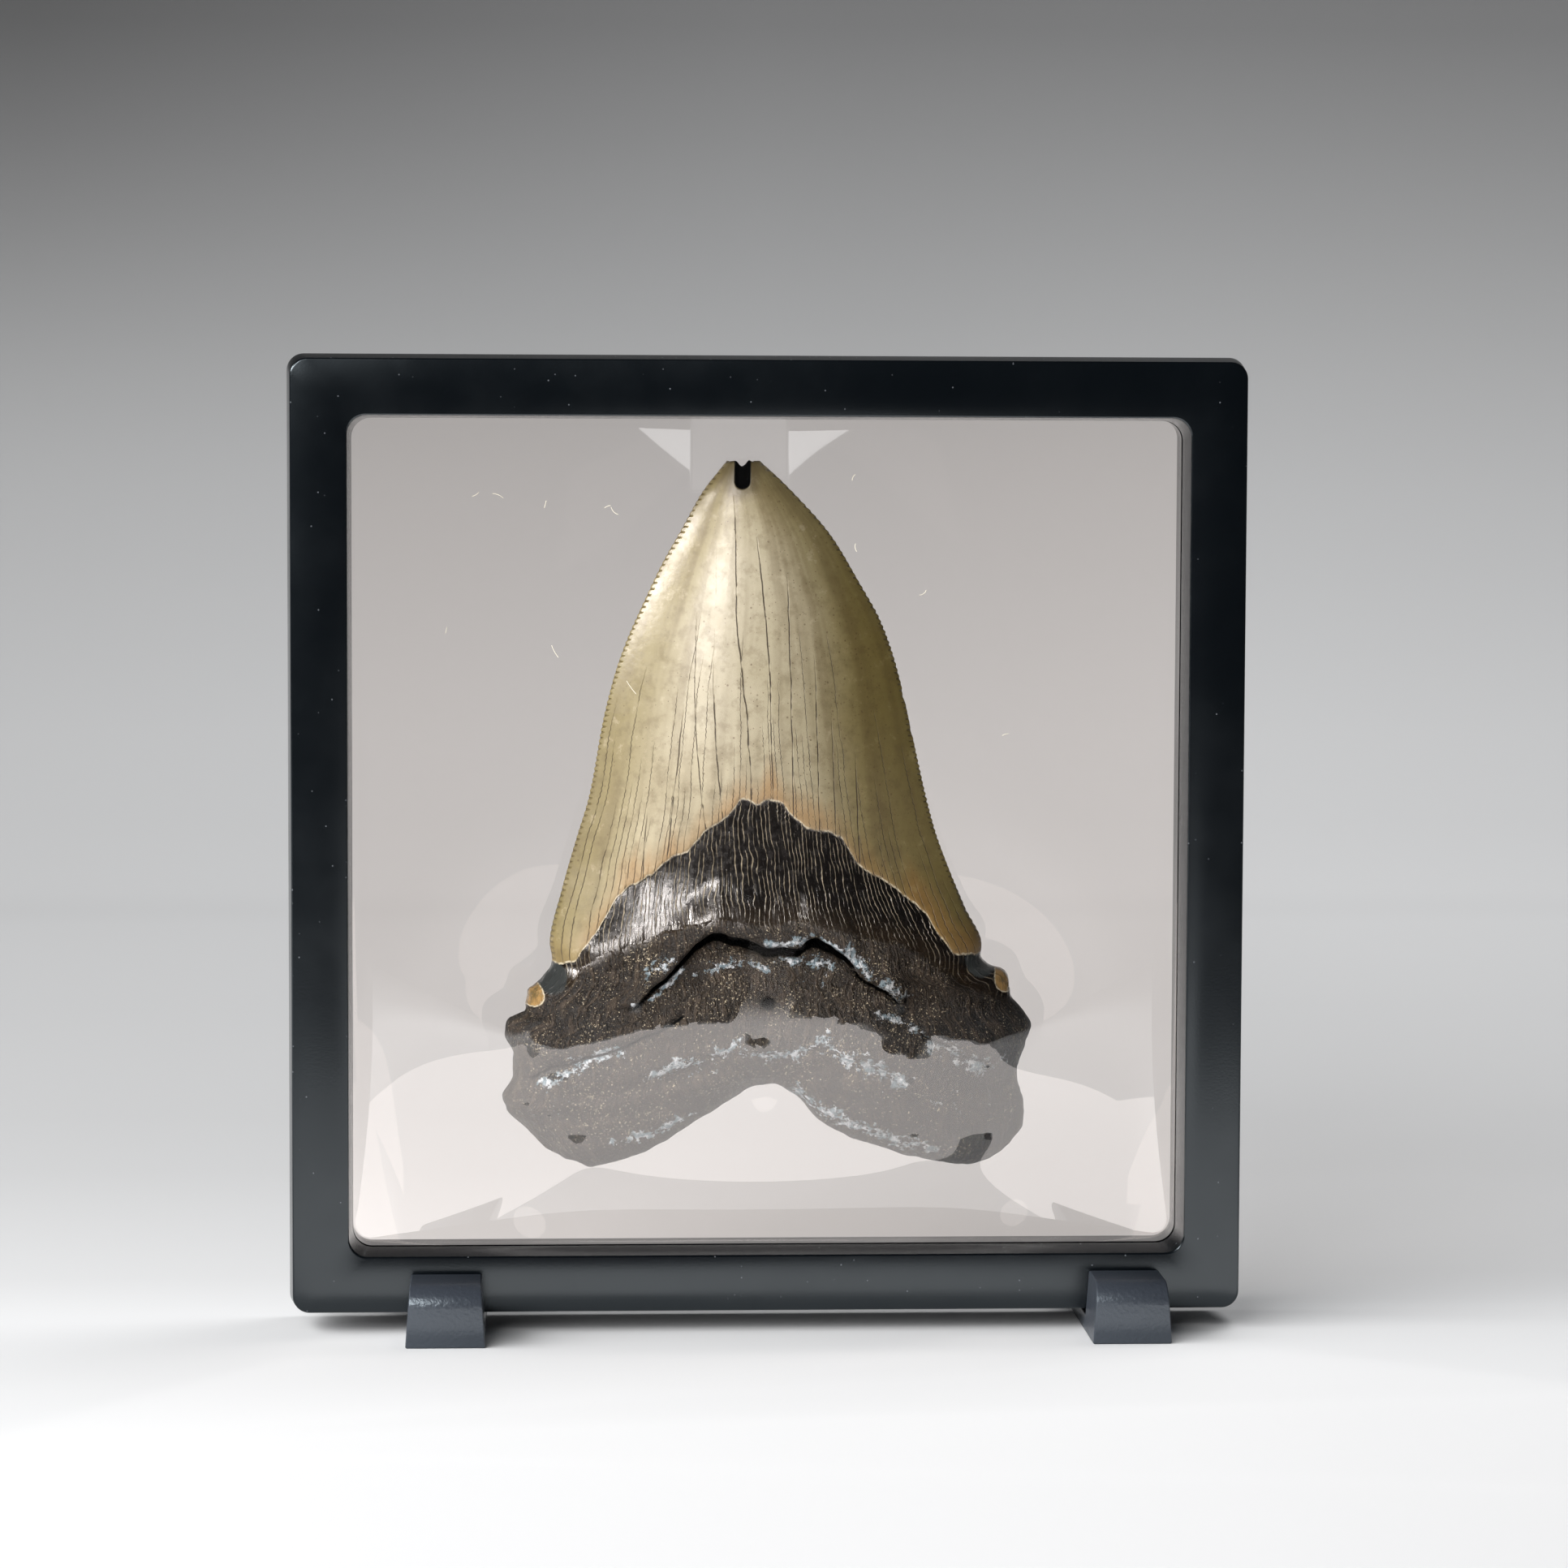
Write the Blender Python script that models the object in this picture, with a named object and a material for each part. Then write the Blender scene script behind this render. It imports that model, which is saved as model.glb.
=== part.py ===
"""Megalodon tooth held between two clear films in a square black frame on two slide-on feet.

The frame faces -Y, +Z is up and the feet stand on Z = 0. The origin is the middle of the
object's footprint. Sizes below are in millimetres and MM turns them into metres.
"""
import math

import bpy
import numpy as np

MM = 0.001
GAP = 0.3                 # clearance kept between pieces that touch

# Frame: two mouldings that meet face to face at Y = 0
FRAME_WIDTH = 180.0       # outside, at the parting plane
FRAME_DEPTH = 20.0        # both halves together
FACE_WIDTH = 178.0        # outside, at the front and back faces
WINDOW_FACE = 157.0       # clear opening at the faces
WINDOW_WAIST = 156.2      # clear opening at the parting plane
OUTER_RADIUS = 3.2
WINDOW_RADIUS = 3.7
EDGE_ROUND = 0.45
CORNER_STEPS = 5

# Films: clamped in a rebate at the parting plane
FILM_THICKNESS = 0.3
FILM_FLANGE = 2.4         # how far the film reaches under the frame
FILM_CORNER_CUT = 0.9
REBATE_RADIUS = 3.0
FILM_CELLS = 21
FILM_SAG = 0.85           # spare height that keeps the flat facets off the tooth
RELAX_STEP = 2.6
RELAX_ROUNDS = 900

# Feet
FOOT_PLACES = {"foot_left": -60.3, "foot_right": 67.1}
FOOT_DEPTH = 49.0
FOOT_HEIGHT = 11.4
FOOT_FLOOR = 2.8          # thickness under the frame
FOOT_WIDTH = 14.8
FOOT_TOP_WIDTH = 13.2
FOOT_ROUND = 4.2
FOOT_ARC_STEPS = 6

# Tooth: heights are above the lowest point of the root lobes
TOOTH_BASE = 30.1         # lobes above the table
TOOTH_COLUMNS = 26
NOTCH_DEPTH = 0.9         # dip in the worn tip

# (height, half-outline X) from the root corner to the tip, left then right
LEFT_EDGE = [
    (3.7, -41.7), (8.2, -46.1), (10.9, -49.2), (13.3, -49.8), (17.4, -47.8), (21.5, -47.8),
    (25.9, -49.8), (28.2, -49.4), (29.9, -46.1), (31.0, -45.7), (33.8, -45.2), (34.6, -44.0),
    (39.0, -40.6), (42.6, -41.0), (52.7, -38.7), (62.2, -36.0), (69.6, -33.8), (86.4, -30.6),
    (98.5, -27.0), (106.9, -23.3), (114.0, -19.9), (120.4, -16.3), (127.4, -12.4), (133.3, -7.8),
]
RIGHT_EDGE = [
    (4.1, 46.2), (8.1, 48.8), (12.3, 48.9), (17.0, 47.8), (22.5, 48.8), (27.3, 50.1),
    (29.2, 49.4), (32.1, 46.9), (35.6, 46.3), (37.4, 45.3), (38.3, 42.4), (40.2, 40.6),
    (42.3, 40.8), (49.2, 37.7), (62.8, 32.3), (81.1, 27.7), (95.9, 24.2), (103.3, 21.5),
    (111.0, 17.1), (119.4, 12.0), (129.1, 3.2), (133.4, -1.5),
]
# (X, height) of the root's arched lower outline
BOTTOM_EDGE = [
    (-41.7, 3.7), (-36.3, 0.8), (-33.0, 0.0), (-24.5, 2.0), (-12.3, 9.1), (-5.5, 13.5),
    (-2.1, 15.2), (1.2, 15.5), (4.6, 14.1), (11.4, 7.6), (18.3, 4.5), (31.9, 0.7),
    (37.3, 0.0), (42.1, 1.3), (46.2, 4.1),
]
# (height, depth ahead of the edge plane) down the middle of the rounded front face
FRONT_SPINE = [
    (0.0, 7.6), (10.0, 8.8), (17.0, 10.0), (24.0, 11.9), (30.0, 12.3), (36.0, 11.4),
    (42.0, 11.0), (48.0, 11.9), (56.0, 11.5), (70.0, 10.9), (88.0, 9.3), (106.0, 7.0),
    (122.0, 4.2), (131.0, 2.2), (134.0, 1.3),
]
BACK_SPINE = [
    (0.0, 7.2), (12.0, 9.4), (24.0, 10.8), (36.0, 10.4), (42.0, 8.6), (48.0, 9.0),
    (60.0, 8.0), (90.0, 5.4), (118.0, 2.6), (134.0, 1.0),
]
# (X, height) of the long crack and overhang below the dark neck band
CRACK_LINE = [
    (-26.1, 31.8), (-20.8, 35.8), (-15.6, 41.1), (-11.5, 43.8), (-6.8, 44.4), (-0.9, 42.4),
    (3.8, 41.9), (9.1, 43.4), (13.8, 41.0), (16.6, 37.7), (20.5, 35.7), (23.9, 33.7), (25.3, 30.2),
]
CRACK_DEPTH = 1.6
CRACK_WIDTH = 1.7
LEDGE_HEIGHT = 1.3        # how far the band stands over the root below the crack
LEDGE_FADE = 7.0
FORAMEN = (-0.2, 32.1)
FORAMEN_RADIUS = 2.2
FORAMEN_DEPTH = 1.5
TIP_POCKET = (-4.9, 128.2)     # X and lowest height of the pocket in front of the tip
TIP_POCKET_HALF_WIDTH = 1.3
TIP_POCKET_DEPTH = 1.9


def smooth(where, places, values):
    """Monotone cubic through the points (places, values), read at where."""
    places, values = np.asarray(places, float), np.asarray(values, float)
    steps = np.diff(places)
    slopes = np.diff(values) / steps
    tangents = np.empty_like(values)
    tangents[0], tangents[-1] = slopes[0], slopes[-1]
    before, after = slopes[:-1], slopes[1:]
    same = before * after > 0
    safe_before = np.where(same, before, 1.0)
    safe_after = np.where(same, after, 1.0)
    weight_one = 2 * steps[1:] + steps[:-1]
    weight_two = steps[1:] + 2 * steps[:-1]
    mean = (weight_one + weight_two) / (weight_one / safe_before + weight_two / safe_after)
    tangents[1:-1] = np.where(same, mean, 0.0)
    where = np.clip(where, places[0], places[-1])
    cell = np.clip(np.searchsorted(places, where, side="right") - 1, 0, len(steps) - 1)
    t = (where - places[cell]) / steps[cell]
    start, end = values[cell], values[cell + 1]
    rise_start, rise_end = tangents[cell] * steps[cell], tangents[cell + 1] * steps[cell]
    return (start * (1 + 2 * t) * (1 - t) ** 2 + rise_start * t * (1 - t) ** 2
            + end * t * t * (3 - 2 * t) + rise_end * t * t * (t - 1))


def along(table, where):
    """Second column of a table, read smoothly at a value of its first column."""
    return smooth(where, [row[0] for row in table], [row[1] for row in table])


def step(value, low, high):
    """Smooth change from 0 at low to 1 at high."""
    t = np.clip((value - low) / (high - low), 0.0, 1.0)
    return t * t * (3 - 2 * t)


def dome(distance, reach):
    """Quarter-round rise from 0 at an edge to 1 at reach and beyond."""
    t = np.clip(distance / reach, 0.0, 1.0)
    return np.sqrt(1 - (1 - t) ** 2)


def edge_plane(height):
    """Y of the tooth's outline: the cutting edges lie nearer the flat back face."""
    return 1.8 * step(height, 30.0, 60.0)


def tooth_profile(x, height, spine, edge_round):
    """Rounded depth of one face of the tooth, measured from the plane of its outline."""
    left, right = along(LEFT_EDGE, height), along(RIGHT_EDGE, height)
    middle, half = (left + right) / 2, (right - left) / 2
    across = np.clip((x - middle) / np.maximum(half, 0.1), -1.0, 1.0)
    crown = 1 - np.abs(across) ** 2.1
    root = dome(half * (1 - np.abs(across)), edge_round) * (1 - 0.22 * across ** 2)
    root = root * dome(height - along(BOTTOM_EDGE, x), edge_round)
    arch = 5.0 * step(np.abs(x), 6.0, 34.0) * (1 - step(height, 40.0, 60.0))
    return along(spine, height + arch) * (root + (crown - root) * step(height, 36.0, 58.0))


def front_depth(x, height):
    """Distance of the tooth's front face ahead of the outline plane, with its main relief."""
    depth = tooth_profile(x, height, FRONT_SPINE, 10.0)
    line = along(CRACK_LINE, x)
    inside = step(x, -30.0, -24.0) * (1 - step(x, 23.0, 28.0))
    above = height - line
    groove = CRACK_DEPTH * np.exp(-((above + 0.6) / CRACK_WIDTH) ** 2)
    ledge = LEDGE_HEIGHT * step(above, -0.8, 1.0) * (1 - step(above, 1.5, LEDGE_FADE))
    pit_radius = np.hypot(x - FORAMEN[0], height - FORAMEN[1])
    pit = FORAMEN_DEPTH * (1 - step(pit_radius, 0.0, FORAMEN_RADIUS))
    off_pocket = np.abs(x - TIP_POCKET[0])
    pocket = TIP_POCKET_DEPTH * (1 - step(off_pocket, 0.6 * TIP_POCKET_HALF_WIDTH, TIP_POCKET_HALF_WIDTH))
    pocket = pocket * step(height, TIP_POCKET[1], TIP_POCKET[1] + 0.8)
    return depth + inside * (ledge - groove) - pit - pocket


def back_depth(x, height):
    """Distance of the tooth's flatter back face behind the outline plane."""
    return tooth_profile(x, height, BACK_SPINE, 8.0)


def tooth_point(u, v):
    """X and height at the fraction u from left to right and v from root to tip."""
    low_left, low_right = LEFT_EDGE[0][0], RIGHT_EDGE[0][0]
    left_height = low_left + v * (LEFT_EDGE[-1][0] - low_left)
    right_height = low_right + v * (RIGHT_EDGE[-1][0] - low_right)
    x = (1 - u) * along(LEFT_EDGE, left_height) + u * along(RIGHT_EDGE, right_height)
    height = (1 - u) * left_height + u * right_height
    base_x = (1 - u) * LEFT_EDGE[0][1] + u * RIGHT_EDGE[0][1]
    base_rise = along(BOTTOM_EDGE, base_x) - ((1 - u) * low_left + u * low_right)
    notch = NOTCH_DEPTH * step(u, 0.22, 0.46) * (1 - step(u, 0.46, 0.7))
    return x, height + (1 - v) ** 1.3 * base_rise - v ** 14 * notch


def make_object(name, vertices, faces, material, smooth_angle=None):
    """Mesh object from points in millimetres, with its own material."""
    mesh = bpy.data.meshes.new(name)
    mesh.from_pydata([tuple(c * MM for c in vertex) for vertex in vertices], [], faces)
    mesh.materials.append(material)
    if smooth_angle is not None:
        mesh.shade_smooth()
        mesh.set_sharp_from_angle(angle=math.radians(smooth_angle))
    mesh.update()
    obj = bpy.data.objects.new(name, mesh)
    bpy.context.scene.collection.objects.link(obj)
    return obj


def make_material(name, colour, roughness, alpha=1.0):
    """Principled material of one piece."""
    material = bpy.data.materials.new(name)
    material.use_nodes = True
    shader = material.node_tree.nodes["Principled BSDF"]
    shader.inputs["Base Color"].default_value = (*colour, 1.0)
    shader.inputs["Roughness"].default_value = roughness
    shader.inputs["Metallic"].default_value = 0.0
    shader.inputs["Alpha"].default_value = alpha
    return material


def build_tooth():
    """One closed solid: a front and a back sheet that share the outline."""
    heights = np.concatenate([
        np.linspace(0.0, 20.0, 9)[:-1], np.linspace(20.0, 46.0, 16)[:-1], np.linspace(46.0, 118.0, 19)[:-1],
        np.array([118.0, 121.5, 124.3, 125.4, 127.4, 129.6])])
    rows = heights / heights[-1]
    even = np.linspace(0.0, 1.0, TOOTH_COLUMNS + 1)
    columns = 0.45 * even + 0.55 * (0.5 - 0.5 * np.cos(math.pi * even))
    u, v = np.meshgrid(columns, rows)
    x, height = tooth_point(u, v)
    plane = edge_plane(height)
    front = plane - np.maximum(front_depth(x, height), 0.35)
    back = plane + np.maximum(back_depth(x, height), 0.35)
    last_row, last_column = len(rows) - 1, TOOTH_COLUMNS

    def on_rim(row, column):
        return row in (0, last_row) or column in (0, last_column)

    vertices, front_index, back_index = [], {}, {}
    for row in range(last_row + 1):
        for column in range(last_column + 1):
            place = (x[row, column], height[row, column] + TOOTH_BASE)
            front_index[row, column] = len(vertices)
            if on_rim(row, column):
                vertices.append((place[0], plane[row, column], place[1]))
                back_index[row, column] = front_index[row, column]
                continue
            vertices.append((place[0], front[row, column], place[1]))
            back_index[row, column] = len(vertices)
            vertices.append((place[0], back[row, column], place[1]))
    faces = []
    for row in range(last_row):
        for column in range(last_column):
            ring = [(row, column), (row, column + 1), (row + 1, column + 1), (row + 1, column)]
            faces.append([front_index[key] for key in ring])
            faces.append([back_index[key] for key in reversed(ring)])
    make_object("tooth", vertices, faces, make_material("tooth_fossil", (0.16, 0.13, 0.08), 0.45), 50)


def rounded_square(half, radius):
    """Points of a square of half-width half, anticlockwise seen from the front."""
    centre = half - radius
    points = []
    for quarter in range(4):
        middle = math.radians(45 + 90 * quarter)
        centre_x = math.copysign(centre, math.cos(middle))
        centre_z = math.copysign(centre, math.sin(middle))
        for count in range(CORNER_STEPS + 1):
            angle = math.radians(90 * quarter + 90 * count / CORNER_STEPS)
            points.append((centre_x + radius * math.cos(angle), centre_z + radius * math.sin(angle)))
    return points


def build_frame_half(name, side):
    """Square ring on one side of the parting plane: side is -1 in front, +1 behind."""
    half_depth = FRAME_DEPTH / 2
    face = FACE_WIDTH / 2
    window = WINDOW_FACE / 2
    waist = WINDOW_WAIST / 2
    rebate = waist + FILM_FLANGE + 0.5
    rebate_depth = GAP / 2 + FILM_THICKNESS + GAP
    profile = [
        (FRAME_WIDTH / 2, GAP / 2, OUTER_RADIUS + 0.5),
        (face, half_depth - EDGE_ROUND, OUTER_RADIUS),
        (face - 0.3 * EDGE_ROUND, half_depth - 0.3 * EDGE_ROUND, OUTER_RADIUS - 0.1),
        (face - EDGE_ROUND, half_depth, OUTER_RADIUS - EDGE_ROUND),
        (window + EDGE_ROUND, half_depth, WINDOW_RADIUS + EDGE_ROUND),
        (window + 0.3 * EDGE_ROUND, half_depth - 0.3 * EDGE_ROUND, WINDOW_RADIUS + 0.1),
        (window, half_depth - EDGE_ROUND, WINDOW_RADIUS),
        (waist, rebate_depth, WINDOW_RADIUS - 0.1),
        (rebate, rebate_depth, REBATE_RADIUS),
        (rebate, GAP / 2, REBATE_RADIUS),
    ]
    centre = FRAME_WIDTH / 2 + FOOT_FLOOR + GAP
    rings = [[(x, side * y, z + centre) for x, z in rounded_square(half, radius)]
             for half, y, radius in profile]
    count = len(rings[0])
    vertices = [point for ring in rings for point in ring]
    faces = []
    for ring in range(len(rings)):
        following = (ring + 1) % len(rings)
        for place in range(count):
            after = (place + 1) % count
            quad = [ring * count + place, following * count + place,
                    following * count + after, ring * count + after]
            faces.append(quad if side > 0 else quad[::-1])
    make_object(name, vertices, faces, make_material(name + "_plastic", (0.012, 0.016, 0.02), 0.38), 30)


def relaxed_film(depth, sign):
    """Height of a stretched film over the tooth, on an even square grid with its coordinates."""
    half = WINDOW_WAIST / 2
    count = 2 * round(half / RELAX_STEP) + 1
    line = np.linspace(-half, half, count)
    centre = FRAME_WIDTH / 2 + FOOT_FLOOR + GAP
    x, z = np.meshgrid(line, line)
    height = z + centre - TOOTH_BASE
    left, right = along(LEFT_EDGE, height), along(RIGHT_EDGE, height)
    inside = (x > left) & (x < right) & (height > along(BOTTOM_EDGE, x)) & (height < LEFT_EDGE[-1][0])
    obstacle = np.where(inside, depth(x, height) + sign * edge_plane(height) + GAP, 0.0)
    film = obstacle.copy()
    red = (np.add.outer(np.arange(count), np.arange(count)) % 2) == 0
    red[0, :] = red[-1, :] = red[:, 0] = red[:, -1] = False
    black = ~red
    black[0, :] = black[-1, :] = black[:, 0] = black[:, -1] = False
    speed = 2 / (1 + math.sin(math.pi / count))
    for _ in range(RELAX_ROUNDS):
        for colour in (red, black):
            mean = np.zeros_like(film)
            mean[1:-1, 1:-1] = (film[:-2, 1:-1] + film[2:, 1:-1] + film[1:-1, :-2] + film[1:-1, 2:]) / 4
            film = np.where(colour, np.maximum(obstacle, film + speed * (mean - film)), film)
    return line, film


def build_film(name, side, depth):
    """Thin closed shell clamped flat at the rim and tented over one face of the tooth."""
    line, film = relaxed_film(depth, side)
    half = WINDOW_WAIST / 2
    centre = FRAME_WIDTH / 2 + FOOT_FLOOR + GAP
    inner = np.linspace(-half, half, FILM_CELLS + 1)
    places = np.concatenate([[-half - FILM_FLANGE], inner, [half + FILM_FLANGE]])
    count = len(places)
    vertices = []
    for layer in (0.0, FILM_THICKNESS):
        for row, z in enumerate(places):
            for column, x in enumerate(places):
                rise = 0.0
                if 1 < row < count - 2 and 1 < column < count - 2:
                    over_rows = [np.interp(x, line, film[k]) for k in range(len(line))]
                    to_rim = half - max(abs(x), abs(z))
                    rise = np.interp(z, line, over_rows) + FILM_SAG * step(to_rim, 4.0, 20.0)
                at_corner = row in (0, count - 1) and column in (0, count - 1)
                px = x - math.copysign(FILM_CORNER_CUT, x) if at_corner else x
                pz = z - math.copysign(FILM_CORNER_CUT, z) if at_corner else z
                vertices.append((px, side * (GAP / 2 + rise + layer), pz + centre))
    faces = []
    layer_size = count * count
    heights = [side * vertex[1] for vertex in vertices]
    for row in range(count - 1):
        for column in range(count - 1):
            a, b = row * count + column, row * count + column + 1
            c, d = b + count, a + count
            # both layers are split the same way, along the diagonal that bulges off the tooth
            if heights[a] + heights[c] >= heights[b] + heights[d]:
                halves = [(a, b, c), (a, c, d)]
            else:
                halves = [(a, b, d), (b, c, d)]
            for half_cell in halves:
                outer = [index + layer_size for index in half_cell]
                faces.append(outer if side < 0 else outer[::-1])
                faces.append(half_cell[::-1] if side < 0 else half_cell)
    rim = ([column for column in range(count)]
           + [row * count + count - 1 for row in range(1, count)]
           + [(count - 1) * count + column for column in range(count - 2, -1, -1)]
           + [row * count for row in range(count - 2, 0, -1)])
    for here, there in zip(rim, rim[1:] + rim[:1]):
        quad = [here, there, there + layer_size, here + layer_size]
        faces.append(quad if side < 0 else quad[::-1])
    make_object(name, vertices, faces, make_material(name + "_clear", (0.93, 0.9, 0.88), 0.05, 0.15), 30)


def build_foot(name, x_centre):
    """U-shaped slide-on foot: a side profile carried across its tapered width."""
    half_depth = FOOT_DEPTH / 2
    slot = FRAME_DEPTH / 2 + GAP
    arc = []
    for count in range(FOOT_ARC_STEPS + 1):
        angle = math.radians(90 * count / FOOT_ARC_STEPS)
        arc.append((half_depth - FOOT_ROUND + FOOT_ROUND * math.cos(angle),
                    FOOT_HEIGHT - FOOT_ROUND + FOOT_ROUND * math.sin(angle)))
    back_side = [(half_depth, 0.0)] + arc + [(slot, FOOT_HEIGHT), (slot, FOOT_FLOOR)]
    profile = back_side + [(-y, z) for y, z in reversed(back_side)]
    count = len(profile)

    def half_width(z):
        return (FOOT_WIDTH + (FOOT_TOP_WIDTH - FOOT_WIDTH) * z / FOOT_HEIGHT) / 2

    vertices = [(x_centre + side * half_width(z), y, z) for side in (-1, 1) for y, z in profile]
    faces = [list(range(count))[::-1], list(range(count, 2 * count))]
    for place in range(count):
        after = (place + 1) % count
        faces.append([place, after, after + count, place + count])
    make_object(name, vertices, faces, make_material(name + "_plastic", (0.02, 0.024, 0.028), 0.45), 30)


def main():
    for obj in list(bpy.data.objects):
        bpy.data.objects.remove(obj, do_unlink=True)
    build_tooth()
    build_frame_half("front_frame", -1)
    build_frame_half("back_frame", 1)
    build_film("front_film", -1, front_depth)
    build_film("back_film", 1, back_depth)
    for name, x_centre in FOOT_PLACES.items():
        build_foot(name, x_centre)


main()
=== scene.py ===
import math
from functools import partial

import bmesh
import bpy
import numpy as np
from mathutils import Matrix, Vector


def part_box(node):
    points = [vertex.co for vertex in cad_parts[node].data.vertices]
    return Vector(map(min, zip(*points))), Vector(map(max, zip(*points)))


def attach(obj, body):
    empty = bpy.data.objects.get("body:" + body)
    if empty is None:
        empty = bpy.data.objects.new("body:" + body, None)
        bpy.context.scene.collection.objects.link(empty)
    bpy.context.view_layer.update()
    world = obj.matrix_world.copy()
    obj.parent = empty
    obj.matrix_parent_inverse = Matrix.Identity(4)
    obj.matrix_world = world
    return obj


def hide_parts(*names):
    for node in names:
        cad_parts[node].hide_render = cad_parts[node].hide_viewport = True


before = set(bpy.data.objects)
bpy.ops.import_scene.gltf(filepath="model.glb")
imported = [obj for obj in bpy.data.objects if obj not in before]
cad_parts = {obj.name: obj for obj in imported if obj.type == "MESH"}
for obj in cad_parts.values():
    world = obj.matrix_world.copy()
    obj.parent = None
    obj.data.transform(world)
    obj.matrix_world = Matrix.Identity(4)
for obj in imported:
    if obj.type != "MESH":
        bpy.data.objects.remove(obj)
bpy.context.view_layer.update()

mm = 0.001
scene = bpy.context.scene

# Small helpers for curves, noise and meshes, all in millimetres


def smoothRead(where, places, values):  # monotone cubic through a few points
    places, values = np.asarray(places, float), np.asarray(values, float)
    steps = np.diff(places)
    slopes = np.diff(values) / steps
    tangents = np.empty_like(values)
    tangents[0], tangents[-1] = slopes[0], slopes[-1]
    before, after = slopes[:-1], slopes[1:]
    same = before * after > 0
    weightOne = 2 * steps[1:] + steps[:-1]
    weightTwo = steps[1:] + 2 * steps[:-1]
    shared = weightOne / np.where(same, before, 1) + weightTwo / np.where(same, after, 1)
    tangents[1:-1] = np.where(same, (weightOne + weightTwo) / shared, 0.0)
    where = np.clip(where, places[0], places[-1])
    cell = np.clip(np.searchsorted(places, where, side="right") - 1, 0, len(steps) - 1)
    t = (where - places[cell]) / steps[cell]
    return (values[cell] * (1 + 2 * t) * (1 - t) ** 2 + tangents[cell] * steps[cell] * t * (1 - t) ** 2
            + values[cell + 1] * t * t * (3 - 2 * t) + tangents[cell + 1] * steps[cell] * t * t * (t - 1))


def along(table, where):
    return smoothRead(where, [row[0] for row in table], [row[1] for row in table])


def step(value, low, high):
    t = np.clip((value - low) / (high - low), 0.0, 1.0)
    return t * t * (3 - 2 * t)


def dome(distance, reach):
    t = np.clip(distance / reach, 0.0, 1.0)
    return np.sqrt(1 - (1 - t) ** 2)


def valueNoise(x, y, cell, seed):  # smooth lattice noise from -1 to 1
    size = 128
    lattice = np.random.default_rng(seed).random((size, size)) * 2 - 1
    gx, gy = x / cell + 41.3, y / cell + 17.7
    ix, iy = np.floor(gx).astype(int), np.floor(gy).astype(int)
    fx, fy = gx - ix, gy - iy
    fx, fy = fx * fx * (3 - 2 * fx), fy * fy * (3 - 2 * fy)
    a, b = lattice[ix % size, iy % size], lattice[(ix + 1) % size, iy % size]
    c, d = lattice[ix % size, (iy + 1) % size], lattice[(ix + 1) % size, (iy + 1) % size]
    return a * (1 - fx) * (1 - fy) + b * fx * (1 - fy) + c * (1 - fx) * fy + d * fx * fy


def roughNoise(x, y, cell, octaves, seed):
    total = np.zeros(np.broadcast(x, y).shape)
    for octave in range(octaves):
        total = total + valueNoise(x, y, cell / 2 ** octave, seed + octave) * 0.5 ** octave
    return total


def lineDistance(x, y, points):  # distance to a broken line through the points
    best = np.full(np.broadcast(x, y).shape, 1e9)
    for (ax, ay), (bx, by) in zip(points[:-1], points[1:]):
        dx, dy = bx - ax, by - ay
        t = np.clip(((x - ax) * dx + (y - ay) * dy) / (dx * dx + dy * dy), 0, 1)
        best = np.minimum(best, np.hypot(x - ax - t * dx, y - ay - t * dy))
    return best


def inScene(name, data):
    piece = bpy.data.objects.new(name, data)
    scene.collection.objects.link(piece)
    return piece


def meshObject(name, vertices, faces, edges=()):
    mesh = bpy.data.meshes.new(name)
    mesh.from_pydata((np.asarray(vertices) * mm).tolist(), edges, faces)
    mesh.update()
    return inScene(name, mesh)


def pointAttribute(mesh, name, values):
    attribute = mesh.attributes.new(name, "FLOAT", "POINT")
    attribute.data.foreach_set("value", np.asarray(values, np.float32).ravel())


def bakeModifiers(piece):  # the evaluated shape becomes the piece's own mesh
    graph = bpy.context.evaluated_depsgraph_get()
    baked = bpy.data.meshes.new_from_object(piece.evaluated_get(graph), depsgraph=graph)
    piece.modifiers.clear()
    piece.data = baked
    baked.name = piece.name


def shadeRound(piece, degrees):
    piece.data.shade_smooth()
    piece.data.set_sharp_from_angle(angle=math.radians(degrees))


def pointOutwards(piece):
    form = bmesh.new()
    form.from_mesh(piece.data)
    bmesh.ops.remove_doubles(form, verts=form.verts, dist=1e-7)
    bmesh.ops.recalc_face_normals(form, faces=form.faces)
    form.to_mesh(piece.data)
    form.free()


def finishPiece(piece, material, node):
    piece.data.materials.clear()
    piece.data.materials.append(material)
    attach(piece, "root")
    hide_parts(node)


# Shader helpers


def addNode(tree, kind, inputs=None, **settings):
    node = tree.nodes.new(kind)
    for key, value in settings.items():
        setattr(node, key, value)
    for key, value in (inputs or {}).items():
        socket = node.inputs[key]
        if isinstance(value, bpy.types.NodeSocket):
            tree.links.new(value, socket)
        else:
            socket.default_value = value
    return node


def mathNode(tree, operation, first, second=0.0, third=0.0, clamp=False):
    inputs = {0: first, 1: second, 2: third}
    return addNode(tree, "ShaderNodeMath", inputs, operation=operation, use_clamp=clamp).outputs[0]


def rampNode(tree, value, low, high, fromValue=0.0, toValue=1.0):  # smooth step between two values
    inputs = {0: value, 1: low, 2: high, 3: fromValue, 4: toValue}
    return addNode(tree, "ShaderNodeMapRange", inputs, interpolation_type="SMOOTHSTEP").outputs[0]


def mixColour(tree, factor, first, second, blend="MIX"):
    first, second = [value if isinstance(value, bpy.types.NodeSocket) else (*value, 1.0)
                     for value in (first, second)]
    inputs = {0: factor, 6: first, 7: second}
    return addNode(tree, "ShaderNodeMix", inputs, data_type="RGBA", blend_type=blend).outputs[2]


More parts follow.
